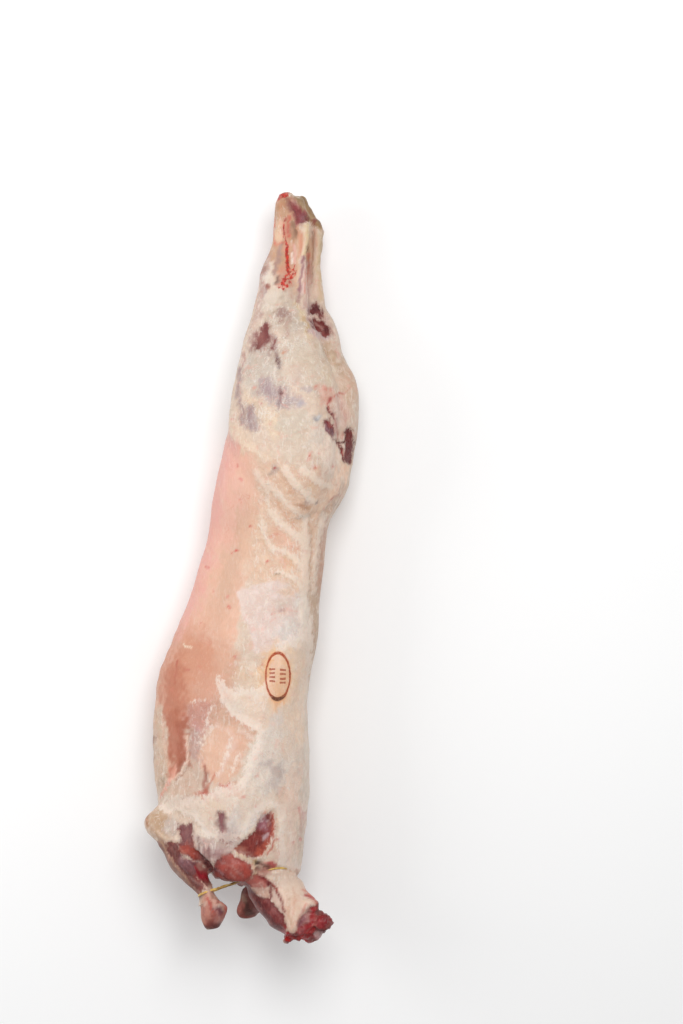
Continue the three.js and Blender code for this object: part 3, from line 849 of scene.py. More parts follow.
LOIN_COVER = [
    (sheet([(222, 436), (232, 440), (244, 449), (257, 459), (262, 480), (260, 510), (252, 550),
            (243, 590), (236, 640), (224, 680), (214, 700), (190, 704), (168, 704), (140, 714),
            (140, 690), (160, 640), (182, 590), (198, 530), (208, 480)]), FLANK, 4, 0.95),
    (line([(226, 446), (215, 490), (207, 530), (200, 560), (186, 600), (172, 630)], 12),
     BLUSH, 11, 0.85),
    (sheet([(240, 470), (250, 510), (246, 560), (234, 600), (218, 640), (206, 620), (220, 570),
            (228, 520)]), (204, 168, 145), 9, 0.75),
    (sheet([(258, 459), (276, 462), (300, 470), (318, 470), (330, 490), (322, 520), (318, 580),
            (300, 596), (276, 580), (250, 590), (250, 540), (258, 500)]), (222, 190, 166), 5, 0.9),
    (blob((248, 545), (7, 30), 6), (220, 184, 160), 6, 0.5),
    (line([(238, 462), (236, 500), (226, 540)], 8), (234, 182, 168), 8, 0.5),
    (sheet([(279, 471), (286, 470), (291, 480), (298, 490), (296, 496), (288, 490), (281, 480)]),
     (212, 174, 148), 2.2, 0.9),
    (blob((275, 470), (4, 6), 20), (176, 158, 150), 2.6, 0.8),
    (blob((303, 506), (8, 2.6), 16), (184, 146, 120), 1.8, 0.95),
    (blob((308, 501), (2.6, 3.6)), (160, 146, 142), 2, 0.8),
    (blob((281, 508), (10, 2.6), 42), (212, 174, 148), 1.8, 0.85),
    (blob((293, 524), (10, 3.4), 42), (216, 178, 152), 2.2, 0.85),
    (blob((312, 486), (3, 5), -20), (216, 182, 146), 2.2, 0.8),
    (sheet([(270, 524), (284, 532), (300, 547), (298, 556), (284, 548), (272, 542)]),
     (224, 184, 162), 2.4, 0.85),
    (blob((291, 562), (4.6, 8), -42), (216, 178, 148), 2.2, 0.95),
    (blob((285, 570), (6, 3), 20), (220, 184, 156), 2.2, 0.8),
    (blob((319, 556), (3, 3.6)), (176, 140, 116), 2, 0.8),
    (line([(326, 520), (324, 545), (321, 575), (320, 600)], 1.8), (200, 156, 136), 2, 0.8),
    (line([(310, 522), (309.5, 545), (309, 575), (308.5, 606)], 1.5), (194, 158, 132), 1.8, 0.85),
    (line([(321, 530), (320.5, 560), (319.5, 590)], 1.8), (194, 154, 132), 2, 0.85),
    (line([(318, 556), (317, 572)], 1.6), (198, 164, 144), 2, 0.7),
    (line([(316, 580), (316, 610), (315, 650), (311, 690)], 2.6), (192, 162, 136), 2.5, 0.8),
    (blob((304, 517), (8, 2.4), 8), (150, 134, 124), 2, 0.6),
    (blob((317, 502), (1.6, 2.6)), (140, 124, 124), 1.5, 0.8),
    (line([(335, 504), (329, 509), (325, 516)], 1.8), (150, 130, 120), 2, 0.7),
    (line([(340, 495), (334, 497), (329, 501)], 0.6), (186, 92, 84), 1.1, 0.8),
    (line([(341, 488), (336, 500), (328, 512)], 2.6), (196, 166, 146), 3, 0.7),
    (blob((278, 574), (2.2, 1.8)), (160, 132, 106), 1.5, 0.9),
    (line([(268, 537), (276, 535)], 0.7), (214, 130, 118), 1.2, 0.7),
    (line([(303, 552), (310, 552)], 0.8), (198, 92, 84), 1.1, 0.8),
    (line([(226, 470), (224, 500)], 0.8), (236, 192, 180), 1.4, 0.4),
    (sheet([(236, 592), (250, 587), (264, 583), (277, 580), (290, 586), (303, 598), (303, 622),
            (298, 637), (282, 646), (264, 653), (255, 654), (247, 625)]), (224, 204, 195), 1, 0.98),
    (blob((289, 630), (13, 9), -25), (216, 209, 203), 5, 0.8),
    (blob((300, 606), (5, 14)), (222, 210, 200), 4, 0.8),
    (blob((286, 592), (9, 5), 10), (220, 190, 166), 2.6, 0.75),
    (blob((283, 602), (10, 3), 0), (214, 196, 180), 2.4, 0.6),
    (blob((280, 611), (5, 5)), (214, 186, 172), 3, 0.8),
    (blob((281, 609), (1.6, 1.6)), (170, 120, 118), 1.5, 0.8),
    (blob((288, 620), (9, 4), 0), (220, 210, 202), 3, 0.5),
]
CHEST_COVER = [
    (blob((206, 640), (20, 40), 14), (218, 174, 152), 12, 0.6),
    (blob((190, 674), (27, 46), 8), (198, 140, 114), 13, 0.85),
    (blob((174, 690), (11, 38), 6), (188, 120, 94), 9, 0.75),
    (blob((167, 640), (9, 26), 24), (214, 160, 142), 8, 0.6),
    # painted shade: a darker, warmer band along the left edge of the flank
    (line([(172, 628), (161, 668), (156, 708)], 3), (198, 140, 116), 4, 0.7),
    (blob((224, 668), (14, 30)), (204, 158, 134), 9, 0.75),
    (blob((246, 676), (14, 10)), (214, 186, 160), 7, 0.7),
    (line([(177, 660), (176, 672), (175.4, 683)], 0.8), (170, 72, 62), 1, 0.85),
    (line([(184, 669), (190, 670)], 0.8), (186, 96, 84), 1.1, 0.7),
    (line([(184, 644.5), (191, 647.5)], 0.9), (232, 212, 190), 0.9, 1),
    (sheet([(166, 668), (180, 664), (186, 700), (188, 745), (185, 760), (178, 776), (169, 778),
            (164, 742), (162, 700)]), (186, 122, 98), 8, 0.7),
    (sheet([(168, 712), (184, 710), (187, 745), (185, 760), (178, 776), (169, 778), (164, 742)]),
     (174, 106, 82), 6, 0.75),
    (sheet([(179, 716), (187, 720), (187, 745), (184, 764), (176, 768), (176, 744)]),
     (160, 88, 66), 5, 0.7),
    (blob((181, 765), (3.6, 8), 8), (150, 84, 62), 2.6, 0.75),
    (line([(168, 764), (172, 772)], 2.2), (206, 132, 112), 2, 0.7),
    (blob((212, 690), (22, 16)), (206, 158, 136), 8, 0.7),
    (sheet([(188, 708), (198, 700), (212, 702), (217, 708), (211, 722), (204, 734), (200, 742),
            (196, 730), (188, 726), (183, 716)]), (194, 142, 128), 3.6, 0.9),
    (blob((196, 732), (3.6, 12), 12), (202, 152, 148), 3, 0.7),
    (sheet([(190, 730), (199, 730), (202, 750), (199, 768), (193, 768), (189, 750)]),
     (186, 152, 142), 2.4, 0.9),
    (sheet([(188, 756), (200, 764), (202, 780), (200, 797), (184, 796), (170, 802), (176, 782),
            (187, 772)]), (206, 180, 162), 2.5, 0.95),
    (sheet([(152, 706), (162, 706), (166, 740), (171, 772), (170, 790), (162, 800), (154, 800),
            (151, 760)]), (208, 182, 160), 4.5, 0.9),
    (line([(157, 680), (154, 710), (154, 740)], 2.6), (204, 164, 140), 3.4, 0.7),
    (line([(155, 737), (155, 759)], 1), (116, 80, 72), 1.4, 0.8),
    (line([(162, 716), (164, 742), (167, 764)], 0.9), (224, 186, 166), 1.3, 0.7),
    (blob((163, 782), (2.4, 5)), (160, 138, 116), 2.2, 0.7),
    (line([(187, 736), (187.5, 750), (186.5, 763), (182, 772), (171, 781), (160, 800)], 0.8),
     (232, 204, 186), 1.1, 0.9),
    (line([(189, 750), (188.5, 764), (184, 774), (176, 780)], 0.6), (150, 96, 76), 1.1, 0.6),
    (line([(172, 778), (168, 786), (162, 796)], 1.4), (222, 156, 138), 1.6, 0.8),
    (line([(176, 764), (174, 776)], 1), (226, 170, 152), 1.4, 0.8),
    (sheet([(202, 742), (210, 728), (222, 722), (232, 727), (249, 729), (250, 742), (243, 762),
            (236, 776), (226, 784), (212, 787), (204, 774), (199, 756)]), (218, 178, 155), 2.8, 0.95),
    (blob((214, 752), (9, 18), 8), (224, 184, 160), 5, 0.6),
    (sheet([(214, 700), (230, 712), (242, 722), (256, 731), (252, 742), (236, 730), (222, 722),
            (212, 726), (206, 722)]), (204, 158, 134), 3, 0.7),
    (line([(222, 706), (236, 720), (250, 728)], 1), (222, 168, 152), 1.4, 0.6),
    (sheet([(232, 742), (244, 740), (243, 758), (236, 772), (230, 772)]), (214, 172, 150), 3, 0.6),
    (line([(229, 740), (227, 752), (223, 766), (219, 776)], 2.2), (222, 192, 178), 2.4, 0.8),
    (line([(238, 728), (246, 732), (252, 738)], 2), (226, 202, 188), 2, 0.8),
    (line([(216, 724), (226, 730), (236, 738), (232, 748)], 1.6), (222, 190, 176), 2, 0.8),
    (line([(200, 758), (206, 768), (214, 776)], 1.2), (214, 160, 144), 1.6, 0.6),
    (line([(205, 766), (204, 780), (206, 791)], 1.4), (160, 92, 76), 1.6, 0.85),
    (line([(214, 774), (208, 784), (205, 792)], 1), (186, 100, 80), 1.3, 0.7),
    (blob((203, 793), (2.6, 1.8)), (190, 84, 74), 1.5, 0.85),
    (blob((190, 801), (8, 4), 20), (220, 164, 148), 3, 0.8),
    (blob((206, 797), (15, 5)), (194, 134, 116), 3.6, 0.8),
    (blob((233, 790), (13, 6), 10), (206, 160, 138), 4, 0.75),
    (blob((198, 799), (2.6, 1.6)), (236, 224, 214), 1, 0.9),
    (blob((201, 802), (2, 1.4)), (120, 96, 84), 1.2, 0.8),
    (line([(220, 785), (238, 790)], 0.7), (206, 118, 106), 1.2, 0.7),
]
BACK_COVER = [
    (sheet([(240, 690), (262, 690), (290, 700), (300, 740), (298, 800), (276, 800), (250, 790),
            (252, 740), (258, 730), (240, 720)]), (224, 198, 176), 7, 0.8),
    (blob((277.7, 676), (18, 31)), (234, 196, 154), 7, 0.85),
    (blob((277, 703), (5, 8)), (238, 180, 126), 3.6, 0.9),
    (line([(262, 664), (264, 690), (272, 702)], 2), (226, 186, 150), 3, 0.6),
    (line([(302, 655), (298, 700), (299, 740)], 6), (233, 202, 174), 6, 0.8),
    (line([(308, 640), (305, 700), (304, 740)], 2.2), (206, 178, 150), 2.6, 0.7),
    (blob((276, 720), (5, 12), 20), (206, 198, 192), 4, 0.7),
    (sheet([(256, 734), (272, 728), (292, 732), (298, 760), (286, 790), (262, 796), (248, 788),
            (250, 758)]), (210, 199, 188), 6, 0.8),
    (blob((266, 764), (7, 4), 20), (178, 164, 160), 3, 0.9),
    (blob((278, 772), (7, 7)), (168, 150, 146), 4, 0.85),
    (blob((274, 784), (5, 8), 10), (182, 166, 160), 3.6, 0.8),
    (blob((280, 794), (3, 3.6)), (140, 128, 122), 2.2, 0.7),
    (blob((286, 748), (9, 12)), (220, 190, 166), 6, 0.6),
    (line([(284, 788), (288, 800)], 1.4), (208, 150, 122), 1.8, 0.6),
    (line([(303, 746), (305, 770), (303, 796)], 3.6), (196, 184, 170), 4, 0.85),
    (line([(296, 772), (292, 800), (290, 830), (288, 856)], 6), (229, 196, 176), 5, 0.75),
    (line([(284, 786), (281, 806), (283, 824)], 2.6), (222, 176, 148), 3.4, 0.6),
    (blob((284, 850), (12, 12)), (232, 202, 186), 6, 0.7),
    (line([(302, 806), (304, 818), (302, 830)], 1.8), (212, 142, 130), 2.4, 0.7),
    (line([(299, 808), (300, 820), (299.5, 832)], 1), (194, 76, 72), 1.2, 0.85),
    (line([(302, 812), (306, 814)], 0.9), (188, 78, 76), 1.1, 0.8),
    (blob((304, 816), (1.2, 2.4)), (190, 84, 86), 1.2, 0.8),
    (blob((299, 838), (1.7, 1.9)), (196, 48, 52), 1.1, 0.9),
    (line([(277.4, 812), (277, 830), (279, 846)], 0.7), (228, 180, 150), 1.2, 0.7),
    (blob((277.5, 838.5), (1.4, 2), -30), (200, 74, 76), 1.1, 0.85),
    (line([(272, 845), (272.6, 852)], 0.7), (170, 108, 120), 1.1, 0.7),
    (line([(300, 816), (301, 846), (298, 866)], 3.6), (192, 172, 152), 4, 0.7),
    (line([(284, 812), (286, 834), (284, 858)], 2), (222, 200, 180), 2.2, 0.6),
]
SHOULDER_COVER = [
    (blob((182, 808), (20, 11), -12), (206, 182, 162), 6, 0.8),
    # painted shade: a grey-brown patch over the elbow
    (blob((164, 828), (9, 10)), (160, 130, 106), 5, 0.85),
    (sheet([(146, 818), (154, 808), (164, 808), (168, 822), (164, 836), (156, 834)]),
     (190, 160, 132), 4, 0.9),
    (blob((147.5, 821), (2.4, 6)), (166, 114, 78), 2, 0.9),
    (line([(150, 828), (158, 840), (166, 850)], 2), (176, 140, 112), 2.2, 0.8),
    (line([(158, 832), (168, 840), (176, 842)], 1.6), (220, 196, 174), 1.8, 0.8),
    (blob((172, 826), (7, 8)), (200, 188, 180), 4, 0.8),
    (blob((212, 812), (12, 12)), (214, 190, 168), 7, 0.7),
    (line([(206, 800), (218, 806), (224, 812)], 3.6), (218, 194, 168), 4, 0.6),
    (blob((229, 832), (8.5, 12)), (158, 104, 104), 3.8, 0.95),
    (blob((222.5, 823), (5.4, 10)), (108, 56, 58), 2.6, 1),
    (line([(233, 826), (234, 834), (231, 841)], 0.9), (150, 104, 96), 1.4, 0.8),
    (blob((222, 840), (3, 2)), (160, 92, 90), 1.8, 0.7),
    (blob((235, 822), (5, 14), 10), (202, 194, 190), 4, 0.8),
    (line([(204, 830), (212, 838), (214, 846)], 2.4), (208, 200, 190), 3, 0.8),
    (sheet([(194, 834), (208, 838), (226, 844), (242, 838), (236, 850), (228, 854), (216, 863),
            (206, 861), (198, 850)]), (190, 166, 160), 3.4, 0.85),
    (sheet([(200, 848), (214, 848), (226, 850), (222, 857), (212, 864), (205, 858)]),
     (166, 130, 128), 2.6, 0.8),
    (line([(198, 837), (199.5, 850)], 0.8), (96, 56, 60), 1.3, 0.8),
    (line([(203.5, 842), (205, 853)], 0.8), (128, 88, 90), 1.3, 0.7),
    (line([(209, 847), (210, 857)], 0.8), (116, 72, 74), 1.3, 0.7),
    (line([(201, 850), (204, 858), (211, 864)], 1), (212, 198, 192), 1.3, 0.7),
    (blob((216, 861), (4, 1.8), 10), (208, 190, 184), 1.6, 0.7),
    (line([(228, 846), (236, 846), (242, 842)], 1.8), (206, 190, 180), 2.2, 0.6),
    (line([(214, 855), (222, 856), (230, 853)], 1.4), (138, 104, 104), 1.8, 0.7),
    (line([(246, 830), (254, 820), (262, 812)], 2.6), (214, 204, 200), 3, 0.8),
    (line([(277, 808), (279, 822), (278, 836), (273, 850)], 1.8), (226, 202, 180), 1.8, 0.9),
    (line([(272, 830), (274, 838), (271, 848), (268, 852)], 1.2), (190, 92, 74), 1.5, 0.85),
    (blob((282, 857), (10, 6), 10), (210, 184, 168), 4, 0.7),
    (sheet([(263, 862), (272, 861), (279, 865), (275, 869), (268, 868)]), (176, 76, 74), 1.6, 0.95),
    (line([(237, 852.5), (246, 857.5), (256, 861)], 1.5), (224, 200, 170), 1.3, 0.95),
    (line([(256, 861.5), (266, 865), (272, 868)], 1), (104, 70, 56), 1.3, 0.85),
    (line([(254, 863), (255.5, 870), (257.5, 875)], 1.4), (222, 190, 162), 1.2, 0.95),
    (blob((263, 870), (6, 5)), (170, 118, 106), 2.4, 0.95),
    (blob((271, 870), (4, 3)), (188, 116, 100), 2, 0.8),
    (line([(290, 865), (298, 871)], 2.5), (216, 162, 140), 2.5, 0.6),
    # dark meat with painted shade: a dark red line along the gap under the shoulder
    (line([(206, 864), (216, 876), (226, 884), (238, 889), (246, 890)], 2.8), (124, 50, 50), 1.8, 0.95),
    (line([(258, 864), (263, 866), (268, 868)], 1.4), (96, 58, 48), 1.6, 0.9),
    (line([(260, 878), (266, 874), (272, 871)], 1.4), (190, 140, 128), 1.6, 0.7),
    (blob((257, 863.5), (2.2, 2)), (48, 30, 20), 1.2, 0.95),
    (line([(254, 875.5), (257, 876.5)], 1), (132, 108, 62), 1.1, 0.9),
    (line([(253, 861.5), (256, 861)], 0.8), (150, 124, 70), 1, 0.8),
    (line([(257, 868), (259, 876), (256, 880)], 1), (110, 62, 52), 1.4, 0.8),
]
FORELEG_COVER = [
    (line([(158, 848), (168, 864), (182, 882), (194, 898)], 4), (138, 100, 90), 2.6, 0.8),
    (line([(160, 842), (170, 858), (184, 876), (198, 894)], 3.2), (128, 92, 84), 2.2, 0.85),
    (line([(158, 838), (172, 860), (190, 884)], 0.8), (196, 160, 132), 1.1, 0.8),
    (line([(166, 848), (178, 866), (194, 888)], 0.8), (178, 140, 122), 1, 0.7),
    (line([(199, 886), (206, 884), (213, 888)], 2.2), (206, 168, 152), 2, 0.85),
    (sheet([(200, 895), (210, 891), (219, 889), (222, 898), (216, 908), (206, 910), (201, 904)]),
     (200, 148, 130), 2.6, 0.85),
    (blob((213, 916), (16, 11)), (146, 70, 62), 5, 0.95),
    (line([(222, 898), (228, 908), (230, 918)], 3), (138, 56, 46), 2.6, 0.85),
    (line([(212, 880), (218, 890)], 2), (172, 84, 70), 1.8, 0.85),
    (blob((206.5, 913), (4.6, 9)), (196, 138, 122), 2.6, 0.85),
    (blob((218, 919), (5, 3.4)), (184, 130, 120), 2, 0.8),
    (line([(206, 898), (210, 904), (213, 911)], 1.2), (184, 84, 72), 1.2, 0.9),
    (blob((218.5, 909), (4, 5)), (118, 68, 76), 2.2, 0.9),
    (line([(215, 903), (216, 912), (220, 917)], 0.6), (198, 150, 140), 1, 0.7),
    (line([(224, 900), (227.5, 910), (225, 921)], 1.8), (186, 84, 70), 1.8, 0.85),
    (line([(204, 908), (205, 916), (209, 922)], 0.7), (150, 92, 84), 1.1, 0.7),
    (line([(228, 903), (230, 911), (227, 922)], 1.2), (150, 48, 44), 1.4, 0.85),
    (line([(201, 900), (200, 912), (204, 922)], 1.4), (178, 130, 108), 1.8, 0.7),
    (blob((214, 926), (12, 4)), (92, 36, 34), 2.8, 0.9),
    (blob((240, 906), (6, 12), 20), (122, 50, 44), 4, 0.9),
    # painted shade: a dark sheet over the far knuckle, which lies lower and in shadow
    (sheet([(236, 884), (254, 884), (262, 902), (256, 914), (246, 922), (234, 918), (236, 900)]),
     (88, 46, 38), 2.4, 0.95),
    (blob((240, 907), (3.8, 7.5), 14), (164, 92, 80), 2.2, 0.9),
    (line([(239, 902), (242, 908), (243, 914)], 0.7), (120, 56, 50), 1.1, 0.7),
    (line([(241, 916), (247, 918), (252, 915)], 1.8), (136, 60, 50), 1.8, 0.85),
    (line([(249, 887), (247, 894), (244, 900)], 3.2), (158, 124, 106), 2.2, 0.85),
    # painted shade: a near-black spot on the shaded side of the far knuckle
    (blob((250, 907), (3.4, 5)), (70, 32, 28), 2.6, 0.8),
]
NECK_COVER = [
    (sheet([(246, 879), (256, 876), (266, 878), (271, 884), (268, 887), (254, 888), (245, 886)]),
     (176, 92, 84), 2, 0.95),
    (blob((249.5, 885), (3.6, 2.2), 30), (132, 24, 28), 1.6, 0.95),
    (line([(260, 877), (264, 881), (269, 884)], 1.1), (140, 34, 40), 1.3, 0.9),
    (line([(254, 884), (262, 884)], 1.2), (204, 150, 138), 1.6, 0.7),
    (sheet([(250, 887), (262, 887), (270, 890), (268, 900), (261, 900), (254, 894)]),
     (206, 170, 154), 1.6, 0.95),
    (line([(259, 896), (263, 902), (265, 908)], 1.1), (198, 176, 166), 1.4, 0.8),
    (line([(254, 890), (258, 897), (264, 903)], 0.7), (96, 60, 54), 1.2, 0.7),
    (sheet([(271, 886), (277, 892), (281, 902), (284, 914), (279, 910), (273, 900)]),
     (208, 182, 168), 1.4, 0.95),
    (sheet([(273, 871), (284, 868), (296, 873), (304, 884), (311, 893), (318, 898), (314, 904),
            (304, 909), (299, 916), (296, 928), (291, 932), (286, 926), (284, 912), (280, 898),
            (276, 889), (268, 882)]), (221, 196, 178), 1.4, 1),
    (line([(268, 878), (280, 876), (292, 880)], 2.6), (226, 202, 184), 3, 0.7),
    (blob((296, 900), (5, 14), 10), (216, 184, 162), 4, 0.6),
    (line([(281, 884), (290, 888), (298, 894)], 3), (226, 206, 190), 4, 0.6),
    (blob((288, 918), (3.4, 12), -12), (204, 170, 146), 3, 0.6),
    (line([(290, 898), (289, 912), (291, 926)], 0.7), (184, 150, 126), 1.2, 0.6),
    (line([(299, 876), (306, 886), (312, 893)], 1), (204, 130, 112), 1.6, 0.7),
    (line([(292, 888), (295, 900), (293, 914)], 0.7), (206, 158, 136), 1.1, 0.7),
    (line([(286, 896), (288, 908), (289, 920)], 0.6), (200, 160, 138), 1.1, 0.7),
    (line([(301, 891), (307, 896), (313, 900)], 1.2), (206, 104, 84), 1.4, 0.8),
    (line([(264, 878), (270, 884), (276, 889), (279, 895), (282, 903), (284.5, 912)], 1.2),
     (120, 20, 26), 1.1, 0.95),
    (line([(267, 882), (273, 884), (277, 890)], 1), (168, 70, 66), 1.2, 0.9),
    (line([(304, 897), (311, 900), (316, 904)], 1), (178, 48, 48), 1.1, 0.95),
    (line([(308, 890), (315, 895), (319, 900)], 1.4), (204, 78, 62), 1.2, 0.95),
    (blob((317, 901), (2.2, 2.2)), (214, 150, 132), 1.3, 0.8),
    (line([(306, 906), (300, 914), (297, 924)], 0.9), (196, 110, 98), 1.2, 0.7),
    (line([(276, 867), (284, 866.6), (291, 869)], 1.2), (196, 158, 128), 1.4, 0.7),
]
COVER = (HIND_LEG_COVER + THIGH_COVER + LOIN_COVER + CHEST_COVER + BACK_COVER + SHOULDER_COVER
         + FORELEG_COVER + NECK_COVER)

SPOTS = [
    # middle of the spot, its half size, its colour
    ((275.2, 468), 1.7, (170, 40, 44)), ((238, 466), 1.6, (216, 124, 116)),
    ((242, 479.5), 1.5, (216, 140, 132)), ((250.5, 525.5), 1.5, (196, 104, 94)),
    ((236.7, 550), 1.6, (198, 66, 64)), ((232, 553), 1.2, (204, 108, 100)),
    ((266.6, 561.7), 1.4, (206, 84, 80)), ((207.5, 567), 1.5, (208, 124, 116)),
    ((229.3, 606.5), 1.6, (204, 82, 78)), ((228, 597), 1.2, (212, 144, 132)),
    ((234.5, 657.7), 1.3, (196, 112, 100)), ((228.5, 786.5), 1.7, (196, 38, 38)),
    ((237.5, 789), 1.1, (196, 92, 84)), ((222, 785), 1.1, (196, 102, 94)),
    ((244.8, 796), 1.8, (214, 122, 112)), ((254.9, 806.5), 1.6, (212, 126, 114)),
    ((299.7, 839), 1.6, (202, 74, 70)), ((277, 839), 1.3, (196, 88, 80)),
    ((283, 822), 1.2, (204, 110, 98)), ((233, 419), 1.3, (206, 122, 110)),
    ((262, 404), 1.4, (212, 142, 126)), ((254, 388), 1.8, (212, 158, 144)),
    ((270, 424), 1.3, (212, 150, 128)), ((309, 456), 1.2, (204, 112, 102)),
    ((314, 469), 1.5, (196, 116, 102)), ((333, 466), 1.5, (212, 142, 130)),
    ((230, 392), 1.4, (206, 130, 112)), ((283, 352), 1.3, (202, 140, 112)),
    ((200, 622), 1.1, (198, 118, 104)), ((213, 590), 1.1, (210, 134, 120)),
    ((276, 704), 2, (216, 160, 116)), ((276.5, 711), 1.6, (218, 170, 132)),
    ((249, 697), 1.2, (202, 124, 112)),
    ((262.5, 665), 1.3, (204, 124, 112)), ((255, 758), 1.6, (212, 140, 126)),
    ((256, 777), 1.5, (206, 130, 116)), ((212, 818), 1.6, (210, 146, 130)),
    ((266, 812), 1.4, (206, 118, 106)), ((292, 842), 1.2, (206, 120, 108)),
    ((286, 350), 1.1, (196, 130, 110)), ((240, 499), 1.2, (216, 150, 136)),
    ((295, 539), 1.4, (210, 136, 122)), ((278, 551), 1.4, (214, 146, 130)),
]


WANDER_SHARE = 0.6                    # how far an edge wanders, as a share of its softness
MOST_WANDER = 3.0                     # picture points


def paint(rows, ground):
    """Lays the rows over a ground colour and returns light values for each point."""
    colour = np.tile(linear(ground), (len(canvas.points), 1))
    for shape, shade_of_row, soft, strength in rows:
        depth = canvas.depth(shape, min(WANDER_SHARE * soft, MOST_WANDER))
        cover = strength * ramp(depth, -soft, soft)
        colour += (linear(shade_of_row) - colour) * cover[:, None]
    return colour


SPOT_SOFTNESS, SPOT_STRENGTH = 1.2, 0.9

spot_rows = [(blob(middle, (size, size)), tone, SPOT_SOFTNESS, SPOT_STRENGTH)
             for middle, size, tone in SPOTS]
cover_colour = paint(COVER + spot_rows, FAT)
print("patches of cover:", len(COVER), "spots:", len(SPOTS))

# %% [markdown]
# ## Bare meat, blood and the grain of each part
#
# Meat and blood have sharp, ragged edges, so they aren't mixed into the cover
# colour. Their depth is stored on the skin as a number, and the material turns
# that number into an edge with fine noise of its own. Two more numbers say where
# white fat is sprinkled over thin membrane and where long fibres show.

